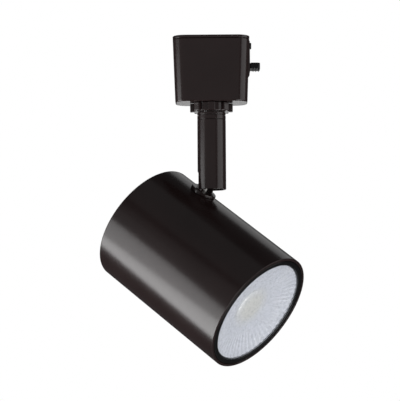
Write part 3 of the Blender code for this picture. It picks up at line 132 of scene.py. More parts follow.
REAR_RECESS_DEPTH = 0.5 * MM
VENT_COUNT = 12
VENT_INNER = 12.0 * MM
VENT_OUTER = 25.0 * MM
VENT_WIDTH = 2.0 * MM
BEZEL_LIP = 2.0 * MM
LENS_RECESS = 0.35 * MM
LENS_FLANGE = 1.9 * MM
LENS_EDGE_THICKNESS = 1.0 * MM
LENS_FACE_THICKNESS = 0.45 * MM

# ---- detail of the optic ---------------------------------------------------
FLUTE_COUNT = 54
FLUTE_DEPTH = 0.28 * MM
CORE_RADIUS = 10.2 * MM
CORE_DOME = 1.5 * MM
OPTIC_DEPTH = 6.5 * MM
OPTIC_RIM_GAP = 0.25 * MM
OPTIC_BELOW_FRONT = 0.75 * MM
OPTIC_SKIRT = 1.2 * MM

# ---- mesh fineness ---------------------------------------------------------
ROUND = 192
MEDIUM = 96
SMALL = 48
ARC_STEPS = 5
CORNER_STEPS = 12
RIM_STEPS = 4
SHARP = math.radians(32)
AXIS_GAP = 0.02 * MM      # a solid's turned profile starts and ends this far from its axis


# ============================================================================
# Frames of the assemblies
# ============================================================================
def joint(name):
    return next(j for j in frame["joints"] if j["name"] == name)


def centre(node):
    low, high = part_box(node)
    return (low + high) / 2


def frame_matrix(x, y, z, origin):
    matrix = Matrix((x, y, z)).transposed().to_4x4()
    matrix.translation = origin
    return matrix


def extent(node, matrix):
    """Lowest and highest corners of a node in an assembly's frame."""
    back = matrix.inverted()
    points = [back @ v.co for v in frame["nodes"][node].data.vertices]
    low = Vector([min(p[i] for p in points) for i in range(3)])
    high = Vector([max(p[i] for p in points) for i in range(3)])
    return low, high


def middle(node, matrix):
    low, high = extent(node, matrix)
    return (low + high) / 2


UP = Vector((0, 0, 1))
PIVOT = Vector(joint("tilt_hinge")["pos_m"])
PIN_AXIS = Vector(joint("tilt_hinge")["axis"]).normalized()
HEAD_AXIS = (centre("led_emitter") - centre("rear_cap")).normalized()

ADAPTER = Matrix.Identity(4)
STEM = frame_matrix(PIN_AXIS.cross(UP), PIN_AXIS, UP, (0, 0, 0))
PIN = frame_matrix(PIN_AXIS.cross(UP), PIN_AXIS, UP, PIVOT)
TILT = frame_matrix(HEAD_AXIS, PIN_AXIS, HEAD_AXIS.cross(PIN_AXIS), PIVOT)
HEAD = frame_matrix(PIN_AXIS.cross(HEAD_AXIS), PIN_AXIS, HEAD_AXIS, centre("rear_cap"))
HEAD = HEAD @ Matrix.Translation((0, 0, extent("head_housing", HEAD)[0].z))

HEAD_RADIUS = extent("head_housing", HEAD)[1].y
HEAD_LENGTH = extent("head_housing", HEAD)[1].z
HEAD_BORE = HEAD_RADIUS - HEAD_WALL
STEM_RADIUS = extent("stem_tube", STEM)[1].y
STEM_BOTTOM = extent("stem_tube", STEM)[0].z
STEM_TOP = extent("stem_tube", STEM)[1].z
STEM_BORE = STEM_RADIUS - STEM_WALL


# ============================================================================
# Materials
# ============================================================================
def node_input(nodes, kind, **values):
    node = nodes.new(kind)
    for key, value in values.items():
        node.inputs[key.replace("_", " ")].default_value = value
    return node


def make_material(name, dark, light, roughness, patch=60.0, grain=900.0, bump=0.05, depth=0.02 * MM,
                  stretch=(1, 1, 1), **sockets):
    """A procedural finish: colour drifts between two tones; fine grain moves roughness and bump."""
    material = bpy.data.materials.new(name)
    material.use_nodes = True
    nodes = material.node_tree.nodes
    links = material.node_tree.links
    shader = nodes["Principled BSDF"]
    for key, value in sockets.items():
        shader.inputs[key.replace("_", " ")].default_value = value
    coords = nodes.new("ShaderNodeTexCoord")
    mapping = node_input(nodes, "ShaderNodeMapping", Scale=stretch)
    links.new(coords.outputs["Object"], mapping.inputs["Vector"])

    drift = node_input(nodes, "ShaderNodeTexNoise", Scale=patch, Detail=3.0, Roughness=0.55)
    links.new(mapping.outputs["Vector"], drift.inputs["Vector"])
    ramp = nodes.new("ShaderNodeValToRGB")
    ramp.name = "tones"
    ramp.color_ramp.elements[0].position = 0.3
    ramp.color_ramp.elements[0].color = (*dark, 1)
    ramp.color_ramp.elements[1].position = 0.7
    ramp.color_ramp.elements[1].color = (*light, 1)
    links.new(drift.outputs["Fac"], ramp.inputs["Fac"])
    links.new(ramp.outputs["Color"], shader.inputs["Base Color"])

    fine = node_input(nodes, "ShaderNodeTexNoise", Scale=grain, Detail=2.0, Roughness=0.5)
    fine.name = "grain"
    links.new(mapping.outputs["Vector"], fine.inputs["Vector"])
    spread = node_input(nodes, "ShaderNodeMapRange", From_Min=0.3, From_Max=0.7,
                        To_Min=roughness[0], To_Max=roughness[1])
    links.new(fine.outputs["Fac"], spread.inputs["Value"])
    links.new(spread.outputs["Result"], shader.inputs["Roughness"])
    relief = node_input(nodes, "ShaderNodeBump", Strength=bump, Distance=depth)
    relief.name = "relief"
    links.new(fine.outputs["Fac"], relief.inputs["Height"])
    links.new(relief.outputs["Normal"], shader.inputs["Normal"])
    return material


def overlay_colour(material, colour, amount):
    """Mix another colour over the tones; amount is the output that says how much of it shows."""
    nodes = material.node_tree.nodes
    links = material.node_tree.links
    mix = nodes.new("ShaderNodeMix")
    mix.data_type = "RGBA"
    mix.inputs["B"].default_value = (*colour, 1)
    links.new(amount, mix.inputs["Factor"])
    links.new(nodes["tones"].outputs["Color"], mix.inputs["A"])
    links.new(mix.outputs["Result"], nodes["Principled BSDF"].inputs["Base Color"])


def add_flecks(material, colour, scale, share):
    """Scatter small specks of another colour, such as metal flake in paint or dust."""
    nodes = material.node_tree.nodes
    links = material.node_tree.links
    cells = node_input(nodes, "ShaderNodeTexVoronoi", Scale=scale)
    coords = nodes.new("ShaderNodeTexCoord")
    links.new(coords.outputs["Object"], cells.inputs["Vector"])
    cut = node_input(nodes, "ShaderNodeMapRange", From_Min=0.16, From_Max=0.06, To_Min=0.0, To_Max=share)
    links.new(cells.outputs["Distance"], cut.inputs["Value"])
    overlay_colour(material, colour, cut.outputs["Result"])


def add_bands(material, colour, direction, pitch, share):
    """Lay parallel bands of another colour across the tones, such as tape turns or board tracks."""
    nodes = material.node_tree.nodes
    links = material.node_tree.links
    coords = nodes.new("ShaderNodeTexCoord")
    along = node_input(nodes, "ShaderNodeVectorMath")
    along.operation = "DOT_PRODUCT"
    along.inputs[1].default_value = direction
    links.new(coords.outputs["Object"], along.inputs[0])
    wave = nodes.new("ShaderNodeMath")
    wave.operation = "PINGPONG"
    wave.inputs[1].default_value = pitch
    links.new(along.outputs["Value"], wave.inputs[0])
    cut = node_input(nodes, "ShaderNodeMapRange", From_Min=pitch * 0.62, From_Max=pitch * 0.7,
                     To_Min=0.0, To_Max=share)
    links.new(wave.outputs["Value"], cut.inputs["Value"])
    overlay_colour(material, colour, cut.outputs["Result"])


def make_optic_material():
    """Clear collimator seen from the front: warm over the emitter, cool and silvery further out."""
    material = make_material("optic_silver", (0.80, 0.82, 0.88), (0.90, 0.91, 0.96), (0.22, 0.38),
                             patch=90.0, grain=500.0, bump=0.05, Metallic=0.2, Coat_Weight=0.6,
                             Coat_Roughness=0.12)
    nodes = material.node_tree.nodes
    links = material.node_tree.links
    coords = nodes.new("ShaderNodeTexCoord")
    away = nodes.new("ShaderNodeVectorMath")
    away.operation = "DISTANCE"
    away.inputs[1].default_value = HEAD @ Vector((0, 0, HEAD_LENGTH - OPTIC_DEPTH))
    links.new(coords.outputs["Object"], away.inputs[0])
    warm = nodes.new("ShaderNodeValToRGB")
    warm.color_ramp.elements[0].position = 0.0
    warm.color_ramp.elements[0].color = (1, 1, 1, 1)
    warm.color_ramp.elements[1].position = 1.0
    warm.color_ramp.elements[1].color = (0, 0, 0, 1)
    reach = node_input(nodes, "ShaderNodeMapRange", From_Min=CORE_RADIUS * 0.65,
                       From_Max=CORE_RADIUS * 1.35)
    links.new(away.outputs["Value"], reach.inputs["Value"])
    links.new(reach.outputs["Result"], warm.inputs["Fac"])
    overlay_colour(material, (0.90, 0.88, 0.78), warm.outputs["Color"])
    return material


BRONZE = make_material("bronze_paint", (0.0160, 0.0085, 0.0083), (0.0205, 0.0115, 0.0112), (0.17, 0.25),
                       patch=45.0, grain=1500.0, bump=0.10, depth=0.012 * MM)
add_flecks(BRONZE, (0.065, 0.045, 0.040), 2600.0, 0.35)
BLACK = make_material("black_plastic", (0.0025, 0.0025, 0.003), (0.0045, 0.0045, 0.005), (0.34, 0.48),
                      grain=2400.0, bump=0.22, depth=0.02 * MM, IOR=1.38)
BEZEL = make_material("bezel_black", (0.0028, 0.0028, 0.0031), (0.0048, 0.0046, 0.0048), (0.20, 0.28),
                      grain=1800.0, bump=0.10, IOR=1.42)
STEEL = make_material("zinc_steel", (0.42, 0.43, 0.44), (0.60, 0.60, 0.60), (0.22, 0.38), patch=300.0,
                      grain=1200.0, bump=0.12, stretch=(1, 1, 6), Metallic=1.0)
BRASS = make_material("contact_brass", (0.60, 0.40, 0.15), (0.78, 0.58, 0.27), (0.16, 0.30), patch=400.0,
                      grain=1500.0, bump=0.08, Metallic=1.0)
ALUMINIUM = make_material("extruded_aluminium", (0.55, 0.56, 0.58), (0.72, 0.73, 0.74), (0.28, 0.42),
                          patch=120.0, grain=900.0, bump=0.15, stretch=(1, 1, 8), Metallic=1.0)
WHITE = make_material("white_plastic", (0.70, 0.70, 0.67), (0.80, 0.80, 0.78), (0.38, 0.50),
                      grain=1600.0, bump=0.12)
PHOSPHOR = make_material("led_phosphor", (0.72, 0.55, 0.10), (0.90, 0.75, 0.22), (0.55, 0.70),
                         patch=700.0, grain=1800.0, bump=0.3)
BOARD = make_material("circuit_board", (0.010, 0.09, 0.035), (0.018, 0.15, 0.06), (0.28, 0.42),
                      bump=0.08)
add_bands(BOARD, (0.05, 0.24, 0.10), tuple(PIN_AXIS), 1.6 * MM, 0.8)
CASE = make_material("component_case", (0.012, 0.012, 0.014), (0.030, 0.030, 0.034), (0.35, 0.50),
                     bump=0.15)
TAPE = make_material("transformer_tape", (0.62, 0.44, 0.05), (0.80, 0.60, 0.10), (0.30, 0.45), bump=0.12)
add_bands(TAPE, (0.48, 0.32, 0.03), tuple(HEAD_AXIS), 1.3 * MM, 0.8)
RUBBER = make_material("silicone_rubber", (0.012, 0.012, 0.012), (0.030, 0.030, 0.030), (0.65, 0.85),
                       bump=0.3)
LEAD = make_material("lead_insulation", (0.52, 0.51, 0.49), (0.66, 0.65, 0.62), (0.40, 0.55),
                     grain=2200.0, bump=0.25)
COVER_GLASS = make_material("clear_lens", (0.78, 0.82, 0.90), (0.86, 0.90, 0.96), (0.06, 0.12),
                            patch=70.0, grain=1200.0, bump=0.04, Alpha=0.20, IOR=1.49,
                            Coat_Weight=1.0, Coat_Roughness=0.05)
OPTIC = make_optic_material()


# ============================================================================
# Mesh building blocks
# ============================================================================
def mesh_from(bm, name="piece"):
    bmesh.ops.recalc_face_normals(bm, faces=bm.faces)
    mesh = bpy.data.meshes.new(name)
    bm.to_mesh(mesh)
    bm.free()
    return mesh


def rounded(points, radii, closed=True, steps=ARC_STEPS):
    """Round the corners of an outline with arcs; radii has one size for each point."""
    result = []
    last = len(points) - 1
    for number, point in enumerate(points):
        here = Vector(point)
        if radii[number] == 0 or (not closed and number in (0, last)):
            result.append(tuple(here))
            continue
        before = Vector(points[number - 1]) - here
        after = Vector(points[(number + 1) % len(points)]) - here
        angle = before.angle(after)
        reach = min(radii[number] / math.tan(angle / 2), 0.49 * before.length, 0.49 * after.length)
        size = reach * math.tan(angle / 2)
        middle_way = (before.normalized() + after.normalized()).normalized()
        hub = here + middle_way * size / math.sin(angle / 2)
        start = here + before.normalized() * reach - hub
        end = here + after.normalized() * reach - hub
        first = math.atan2(start.y, start.x)
        sweep = (math.atan2(end.y, end.x) - first + math.pi) % math.tau - math.pi
        for step in range(steps + 1):
            turn = first + sweep * step / steps
            result.append((hub.x + size * math.cos(turn), hub.y + size * math.sin(turn)))
    return result


def ring_points(radius, height, sides):
    return [(radius * math.cos(math.tau * k / sides), radius * math.sin(math.tau * k / sides), height)
            for k in range(sides)]


def skin(loops, closed=False):
    """Join loops of equal count: closed joins the last to the first, and else both ends are capped."""
    bm = bmesh.new()
    rings = [[bm.verts.new(point) for point in loop] for loop in loops]
    pairs = list(zip(rings, rings[1:]))
    if closed:
        pairs.append((rings[-1], rings[0]))
    for upper, lower in pairs:
        for k in range(len(upper)):
            n = (k + 1) % len(upper)
            bm.faces.new((upper[k], lower[k], lower[n], upper[n]))
    if not closed:
        bm.faces.new(rings[0])
        bm.faces.new(list(reversed(rings[-1])))
    return mesh_from(bm)


def turned(profile, sides=MEDIUM, closed=True):
    """Turn (radius, height) points about Z: a closed ring profile, or an open one with flat ends."""
    return skin([ring_points(radius, height, sides) for radius, height in profile], closed)


def block(low, high, bevel=0.0, segments=3):
    """A block between two corners with rounded edges."""
    bm = bmesh.new()
    bmesh.ops.create_cube(bm, size=1.0)
    bmesh.ops.scale(bm, vec=[h - l for l, h in zip(low, high)], verts=bm.verts)
    bmesh.ops.translate(bm, vec=[(h + l) / 2 for l, h in zip(low, high)], verts=bm.verts)
    if bevel:
        bmesh.ops.bevel(bm, geom=list(bm.edges), offset=bevel, segments=segments, profile=0.5,
                        affect="EDGES", clamp_overlap=True)
    return mesh_from(bm)


def prism(outline, start, end, axis="Z", bevel=0.0):
    """An outline of (u, v) points pushed along an axis; along Y, u is X and v is Z."""
    bm = bmesh.new()
    loops = []
    for depth in (start, end):
        if axis == "Y":
            loops.append([bm.verts.new((u, depth, v)) for u, v in outline])
        else:
            loops.append([bm.verts.new((u, v, depth)) for u, v in outline])
    count = len(outline)
    for k in range(count):
        bm.faces.new((loops[0][k], loops[0][(k + 1) % count], loops[1][(k + 1) % count], loops[1][k]))
    ends = [bm.faces.new(loops[0]), bm.faces.new(loops[1])]
    if bevel:
        rims = {edge for face in ends for edge in face.edges}
        bmesh.ops.bevel(bm, geom=list(rims), offset=bevel, segments=3, profile=0.5, affect="EDGES",
                        clamp_overlap=True)
    return mesh_from(bm)


def rod(radius, start, end, axis="Z", at=(0.0, 0.0), sides=SMALL):
    """A plain cutter or core along one axis; at is its place on the other two, in X, Y, Z order."""
    mesh = skin([ring_points(radius, height, sides) for height in (end, start)])
    if axis == "Z":
        place = Matrix.Translation((at[0], at[1], 0))
    elif axis == "Y":
        place = Matrix.Translation((at[0], 0, at[1])) @ Matrix.Rotation(-math.pi / 2, 4, "X")
    else:
        place = Matrix.Translation((0, at[0], at[1])) @ Matrix.Rotation(math.pi / 2, 4, "Y")
    mesh.transform(place)
    return mesh


def placed(mesh, x=0.0, y=0.0, z=0.0, turn=0.0, flip=False):
    """A copy of a mesh, turned about Z, maybe upside down, then moved."""
    copy = mesh.copy()
    matrix = Matrix.Translation((x, y, z)) @ Matrix.Rotation(turn, 4, "Z")
    if flip:
        matrix = matrix @ Matrix.Rotation(math.pi, 4, "X")
    copy.transform(matrix)
    return copy


def add_object(name, mesh):
    obj = bpy.data.objects.new(name, mesh)
    SCENE.collection.objects.link(obj)
    return obj


def evaluated_mesh(obj):
    """The mesh that an object's modifiers make; the object is removed."""
    bpy.context.view_layer.update()
    mesh = bpy.data.meshes.new_from_object(obj.evaluated_get(bpy.context.evaluated_depsgraph_get()))
    bpy.data.objects.remove(obj)
    return mesh


def carve(base, tools, operation="DIFFERENCE"):
    """Cut tools from a base, or unite them with it."""
    target = add_object("target", base)
    helpers = []
    for tool in tools:
        helper = add_object("tool", tool)
        helpers.append(helper)
        step = target.modifiers.new("step", "BOOLEAN")
        step.operation = operation
        step.solver = "EXACT"
        step.object = helper
    mesh = evaluated_mesh(target)
    for helper in helpers:
        bpy.data.objects.remove(helper)
    return mesh


def join_shapes(base, tools):
    return carve(base, tools, "UNION")


def soften(mesh, width):
    """Round every crisp edge a little."""
    obj = add_object("soften", mesh)
    bevel = obj.modifiers.new("bevel", "BEVEL")
    bevel.width = width
    bevel.segments = 2
    bevel.limit_method = "ANGLE"
    bevel.angle_limit = math.radians(40)
    return evaluated_mesh(obj)


def add_piece(name, mesh, matrix, body, material, slot, *replaced):
    """Place a mesh, give it its finish and let it ride on a body; a bending piece gives no body."""
    mesh.transform(matrix)
    mesh.materials.clear()
    mesh.materials.append(material)
    mesh.shade_smooth()
    mesh.set_sharp_from_angle(angle=SHARP)
    obj = add_object(name, mesh)
    if body:
        weights = obj.modifiers.new("face_weights", "WEIGHTED_NORMAL")
        weights.keep_sharp = True
        weights.mode = "FACE_AREA"
        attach(obj, body)
    if replaced:
        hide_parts(*replaced)
    return obj


def add_bending_piece(name, mesh, bodies, start, end, material, slot, *replaced):
    """Add a piece that rides on no body, its placing baked into its mesh; bodies, start and end are not
    used.
    """
    obj = add_piece(name, mesh, Matrix.Identity(4), None, material, slot, *replaced)
    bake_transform(obj)


def tube_along(points, radius, kind="NURBS", sides=16):
    """A round tube whose centre line follows the points."""
    curve = bpy.data.curves.new("tube", "CURVE")
    curve.dimensions = "3D"
    curve.bevel_depth = radius
    curve.bevel_resolution = sides // 4
    curve.use_fill_caps = True
    spline = curve.splines.new(kind)
    spline.points.add(len(points) - 1)
    for target, point in zip(spline.points, points):
        target.co = (*point, 1.0)
    if kind == "NURBS":
        spline.use_endpoint_u = True
        spline.order_u = 4
        spline.resolution_u = 8
    return evaluated_mesh(add_object("tube", curve))


# ============================================================================
# Fasteners
# ============================================================================
def cross_recess(size, depth):
    """Two crossed wedges that cut a screwdriver's recess below height 0."""
    wedges = []
    for turn in (0.0, math.pi / 2):
        half = size * 0.17
        top = [(-size, -half, depth * 0.2), (size, -half, depth * 0.2), (size, half, depth * 0.2),
               (-size, half, depth * 0.2)]
        low = [(x * 0.55, y * 0.6, -depth) for x, y, _ in top]
        wedges.append(placed(skin([top, low]), turn=turn))
    return join_shapes(wedges[0], [wedges[1]])


def pan_screw(head_radius, head_height, shank_radius, length):
    """A pan-head screw, top of the head at height 0, shank pointing down."""
    outline = [(AXIS_GAP, 0), (head_radius, 0), (head_radius, -head_height),
               (shank_radius, -head_height), (shank_radius, -length), (AXIS_GAP, -length - 0.3 * MM)]
    profile = rounded(outline, [0, head_height * 0.6, 0.1 * MM, 0.1 * MM, 0.2 * MM, 0], closed=False)
    recess = cross_recess(head_radius * 0.6, head_height * 0.55)
    return carve(turned(profile, SMALL, closed=False), [recess])


def flat_screw(head_radius, shank_radius, length):
    """A countersunk screw, flush at height 0, shank pointing down."""
    depth = head_radius - shank_radius
    outline = [(AXIS_GAP, 0), (head_radius, 0), (head_radius, -0.15 * MM),
               (shank_radius, -depth - 0.15 * MM), (shank_radius, -length),
               (AXIS_GAP, -length - 0.3 * MM)]
    profile = rounded(outline, [0, 0.08 * MM, 0.05 * MM, 0.1 * MM, 0.2 * MM, 0], closed=False)
    recess = cross_recess(head_radius * 0.62, depth * 0.9)
    return carve(turned(profile, SMALL, closed=False), [recess])


# ============================================================================
# Adapter
# ============================================================================
COVER_LOW, COVER_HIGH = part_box("top_cover")
HOUSING_TOP = COVER_LOW.z - GAP
CONTACTS = ("live", "neutral", "ground")


def adapter_loop(height, inset):
    """The adapter's leaning outline at a height, with its corners rounded."""
    lean = ADAPTER_DRAFT * height / ADAPTER_HEIGHT
    half_x = COVER_HIGH.x + lean - inset
    half_y = COVER_HIGH.y + lean - inset
    return corner_loop(half_x, half_y, ADAPTER_CORNER - inset, height)


def corner_loop(half_x, half_y, corner, height):
    """A rectangle with rounded corners at a height."""
    points = []
    for quarter in range(4):
        hub_x = (half_x - corner) * (1 if quarter in (0, 3) else -1)
        hub_y = (half_y - corner) * (1 if quarter in (0, 1) else -1)
        for step in range(CORNER_STEPS + 1):
            angle = math.pi / 2 * (quarter + step / CORNER_STEPS)
            points.append((hub_x + corner * math.cos(angle), hub_y + corner * math.sin(angle), height))
    return points


def rounded_rim(low, high, low_edge, high_edge):
    """Heights and insets down a side wall, with an arc at its top and bottom edges."""
    rows = []
    for step in range(RIM_STEPS + 1):
        angle = math.pi / 2 * step / RIM_STEPS
        rows.append((high - high_edge + high_edge * math.cos(angle),
                     high_edge - high_edge * math.sin(angle)))
    for step in range(RIM_STEPS + 1):
        angle = math.pi / 2 * step / RIM_STEPS
        rows.append((low + low_edge - low_edge * math.sin(angle),
                     low_edge - low_edge * math.cos(angle)))
    return rows


def build_adapter_shell():
    inner_x = COVER_HIGH.x - ADAPTER_DRAFT - ADAPTER_WALL
    inner_y = COVER_HIGH.y - ADAPTER_DRAFT - ADAPTER_WALL
    inner_corner = ADAPTER_CORNER - ADAPTER_WALL
    floor = -ADAPTER_HEIGHT + ADAPTER_FLOOR
    loops = [corner_loop(inner_x, inner_y, inner_corner, floor),
             corner_loop(inner_x, inner_y, inner_corner, HOUSING_TOP)]
    for height, inset in rounded_rim(-ADAPTER_HEIGHT, HOUSING_TOP, 0.7 * MM, 0.2 * MM):
        loops.append(adapter_loop(height, inset))
    shell = skin(loops)

    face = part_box("adapter_housing")[1].x
    root = inner_x + 0.4 * MM
    outline = [(root, PAD_TOP), (face, PAD_TOP), (face, PAD_BOTTOM + PAD_RAMP),
               (root, PAD_BOTTOM - PAD_RAMP)]
    outline = rounded(outline, [0, 0.25 * MM, 1.2 * MM, 0])
    pad = prism(outline, -PAD_HALF_WIDTH, PAD_HALF_WIDTH, "Y", bevel=0.2 * MM)
    shell = join_shapes(shell, [pad])

    travel = joint("lock_slide")["range_m"][1]
    nub_top = extent("lock_slider", ADAPTER)[1].z
    outside = face + 2 * MM
    cutters = []
    for width, top, height in ((NUB_WIDTH, nub_top, NUB_HEIGHT),
                               (PADDLE_NECK_WIDTH, PADDLE_TOP, PADDLE_THICKNESS)):
        cutters.append(block((inner_x - 1 * MM, -width / 2 - GAP, top - height - travel - GAP),
                             (outside, width / 2 + GAP, top + GAP)))
    cutters.append(rod(SHAFT_CLEARANCE_RADIUS + ADAPTER_WALL, -ADAPTER_HEIGHT - 1 * MM, floor + 1 * MM,
                       sides=MEDIUM))
    shell = carve(shell, cutters)
    add_piece("adapter_shell", shell, ADAPTER, "adapter", BRONZE, "bronze", "adapter_housing")


def build_top_cover():
    loops = [adapter_loop(height, inset)
             for height, inset in rounded_rim(COVER_LOW.z, COVER_HIGH.z, 0.2 * MM, 0.3 * MM)]
    plate = skin(loops)
    cutters = []
    hole = turned([(CONTACT_HOLE_RADIUS + 0.4 * MM, 1 * MM), (CONTACT_HOLE_RADIUS, -0.35 * MM),
                   (CONTACT_HOLE_RADIUS, -4 * MM)], SMALL, closed=False)
    for name in CONTACTS:
        spot = centre(name + "_contact")
        cutters.append(placed(hole, spot.x, spot.y))
    head_hole = COVER_SCREW_HEAD + COVER_SCREW_CLEARANCE
    shank_hole = COVER_SCREW_RADIUS + COVER_SCREW_CLEARANCE
    seat = turned([(head_hole, 1 * MM), (head_hole, -0.1 * MM), (shank_hole, -1.25 * MM),
                   (shank_hole, -4 * MM)], SMALL, closed=False)
    spots = [centre("cover_screw_%d" % number) for number in (1, 2)]
    for spot in spots:
        cutters.append(placed(seat, spot.x, spot.y))
    add_piece("adapter_cover", carve(plate, cutters), ADAPTER, "adapter", BRONZE, "bronze", "top_cover")
    screw = flat_screw(COVER_SCREW_HEAD, COVER_SCREW_RADIUS, COVER_SCREW_LENGTH)
    for number, spot in enumerate(spots, start=1):
        copy = placed(screw, spot.x, spot.y, -0.12 * MM, 0.6 * number)
        add_piece("cover_screw_%d_fine" % number, copy, ADAPTER, "adapter", STEEL, "zinc_steel",
                  "cover_screw_%d" % number)


def build_contacts():
    for name in CONTACTS:
        low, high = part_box(name + "_contact")
        flange = (high.x - low.x) / 2
        tip = CONTACT_TIP_RADIUS
        step = low.z + 0.8 * MM
        outline = [(AXIS_GAP, high.z), (0.9 * MM, high.z - 0.05 * MM), (tip, high.z - 0.45 * MM),
                   (tip, step), (flange, step), (flange, low.z), (AXIS_GAP, low.z)]
        sizes = [0, 0.9 * MM, 0.3 * MM, 0.1 * MM, 0.15 * MM, 0.15 * MM, 0]
        profile = rounded(outline, sizes, closed=False)
        spot = centre(name + "_contact")
        add_piece(name + "_tip", placed(turned(profile, SMALL, closed=False), spot.x, spot.y), ADAPTER,
                  name + "_plunger", BRASS, "brass", name + "_contact")


def build_springs():
    """Coil springs with closed end turns."""
    springs = [("lock_spring", "lock_slider", 5, 0.6 * MM)]
    for name in CONTACTS:
        springs.append((name + "_contact_spring", name + "_plunger", 4, 0.4 * MM))
    steps = 20
    for node, body, turns, wire in springs:
        low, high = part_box(node)
        spot = centre(node)
        radius = (high.y - low.y - wire) / 2
        points = []
        for number in range((turns + 2) * steps + 1):
            turn = number / steps
            share = min(1.0, max(0.0, (turn - 1) / turns))
            rise = min(turn, 1.0) + min(1.0, max(0.0, turn - turns - 1))
            height = low.z + wire / 2 + wire * rise + (high.z - low.z - 3 * wire) * share
            angle = math.tau * turn
            points.append((spot.x + radius * math.cos(angle), spot.y + radius * math.sin(angle), height))
        coil = tube_along(points, wire / 2, "POLY", 12)
        start = (spot.x, spot.y, low.z)
        end = (spot.x, spot.y, high.z)
        add_bending_piece(node + "_fine", coil, ("adapter", body), start, end, STEEL, "zinc_steel", node)


def build_lock_tab():
    low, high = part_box("lock_slider")
    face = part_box("adapter_housing")[1].x
    plate_outer = COVER_HIGH.x - ADAPTER_DRAFT - ADAPTER_WALL - GAP
    half_neck = PADDLE_NECK_WIDTH / 2
    plate = block((plate_outer - TAB_PLATE_THICKNESS, -half_neck - 1 * MM, low.z),
                  (plate_outer, half_neck + 1 * MM, high.z - 0.1 * MM), 0.15 * MM)
    nub = block((plate_outer - 0.4 * MM, -NUB_WIDTH / 2, high.z - NUB_HEIGHT),
                (face + 0.9 * MM, NUB_WIDTH / 2, high.z), 0.45 * MM, 4)
    neck = block((plate_outer - 0.4 * MM, -half_neck, PADDLE_TOP - PADDLE_THICKNESS),
                 (face + 1.5 * MM, half_neck, PADDLE_TOP), 0.12 * MM)
    half_wide = high.y
    outline = [(face + GAP, -half_wide), (high.x, -half_wide), (high.x, half_wide),
               (face + GAP, half_wide)]
    outline = rounded(outline, [0.4 * MM, 1.3 * MM, 1.3 * MM, 0.4 * MM])
    paddle = prism(outline, PADDLE_TOP - PADDLE_THICKNESS, PADDLE_TOP, bevel=0.4 * MM)
    ribs = []
    for number in range(PADDLE_RIBS):
        x = face + 1.6 * MM + number * PADDLE_RIB_PITCH
        ribs.append(block((x, 1 * MM - half_wide, PADDLE_TOP - PADDLE_THICKNESS - 0.5 * MM),
                          (x + PADDLE_RIB_WIDTH, half_wide - 1 * MM, PADDLE_TOP - 1 * MM), 0.2 * MM))
    foot = block((plate_outer - TAB_FOOT_LENGTH, -TAB_FOOT_HALF_WIDTH, low.z),
                 (plate_outer, TAB_FOOT_HALF_WIDTH, low.z + TAB_PLATE_THICKNESS), 0.15 * MM)
    tab = join_shapes(plate, [nub, neck, paddle, *ribs, foot])
    add_piece("lock_tab", tab, ADAPTER, "lock_slider", BLACK, "black_plastic", "lock_slider")


def build_collar():
    low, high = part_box("swivel_socket")
    shoulder = -ADAPTER_HEIGHT - GAP
    bore = SHAFT_CLEARANCE_RADIUS
    sleeve = bore + SOCKET_SLEEVE_WALL
    outline = [(bore, high.z), (sleeve, high.z), (sleeve, shoulder), (SOCKET_CORE_RADIUS, shoulder),
               (SOCKET_CORE_RADIUS, low.z), (bore, low.z)]
    core = turned(rounded(outline, [0.2 * MM, 0.2 * MM, 0, 0.2 * MM, 0.4 * MM, 0.2 * MM]), MEDIUM)
    half_rib = SOCKET_RIB_WIDTH / 2
    rib = block((sleeve, -half_rib, low.z), (high.x, half_rib, shoulder), 0.45 * MM, 4)
    ribs = [placed(rib, turn=math.tau * number / SOCKET_RIBS) for number in range(SOCKET_RIBS)]
    add_piece("swivel_collar", join_shapes(core, ribs), ADAPTER, "adapter", BRONZE, "black_plastic",
              "swivel_socket")


# ============================================================================
# Stem
# ============================================================================
def build_stem_cap():
    low, high = extent("stem_cap", STEM)
    groove_top = high.z - CAP_RIM
    groove_low = groove_top - CAP_GROOVE
    band_low = groove_low - CAP_BAND
    groove = STEM_RADIUS - CAP_GROOVE_DEPTH
    spigot = STEM_BORE - GAP
    bore = SHAFT_CLEARANCE_RADIUS
    outline = [(bore, high.z), (STEM_RADIUS, high.z), (STEM_RADIUS, groove_top),
               (groove, groove_top), (groove, groove_low), (STEM_RADIUS, groove_low),
               (STEM_RADIUS, band_low), (spigot, band_low), (spigot, low.z), (bore, low.z)]
    edge = 0.15 * MM
    sizes = [edge, 0.3 * MM, edge, 0, 0, edge, edge, 0, edge, edge]
    collar = turned(rounded(outline, sizes), MEDIUM)
    add_piece("stem_collar", collar, STEM, "stem", BRONZE, "bronze", "stem_cap")


def build_stem_tube():
    edge = 0.3 * MM
    outline = [(STEM_BORE, STEM_TOP), (STEM_RADIUS, STEM_TOP), (STEM_RADIUS, STEM_BOTTOM),
               (STEM_BORE, STEM_BOTTOM)]
    tube = turned(rounded(outline, [0.1 * MM, 0.12 * MM, edge, edge]), ROUND)
    notch_top = PIVOT.z + NOTCH_ABOVE_PIVOT
    half = LUG_OUTER + NOTCH_SIDE_CLEARANCE
    outline = [(-half, STEM_BOTTOM - 2 * MM), (half, STEM_BOTTOM - 2 * MM), (half, notch_top),
               (-half, notch_top)]
    outline = rounded(outline, [0, 0, NOTCH_CORNER, NOTCH_CORNER], steps=10)
    notch = prism(outline, NOTCH_START, NOTCH_START + NOTCH_REACH, "Y")
    notch.transform(Matrix.Rotation(math.pi / 2, 4, "Z"))
    tube = carve(tube, [notch])
    add_piece("stem_tube_fine", tube, STEM, "stem", BRONZE, "bronze", "stem_tube")


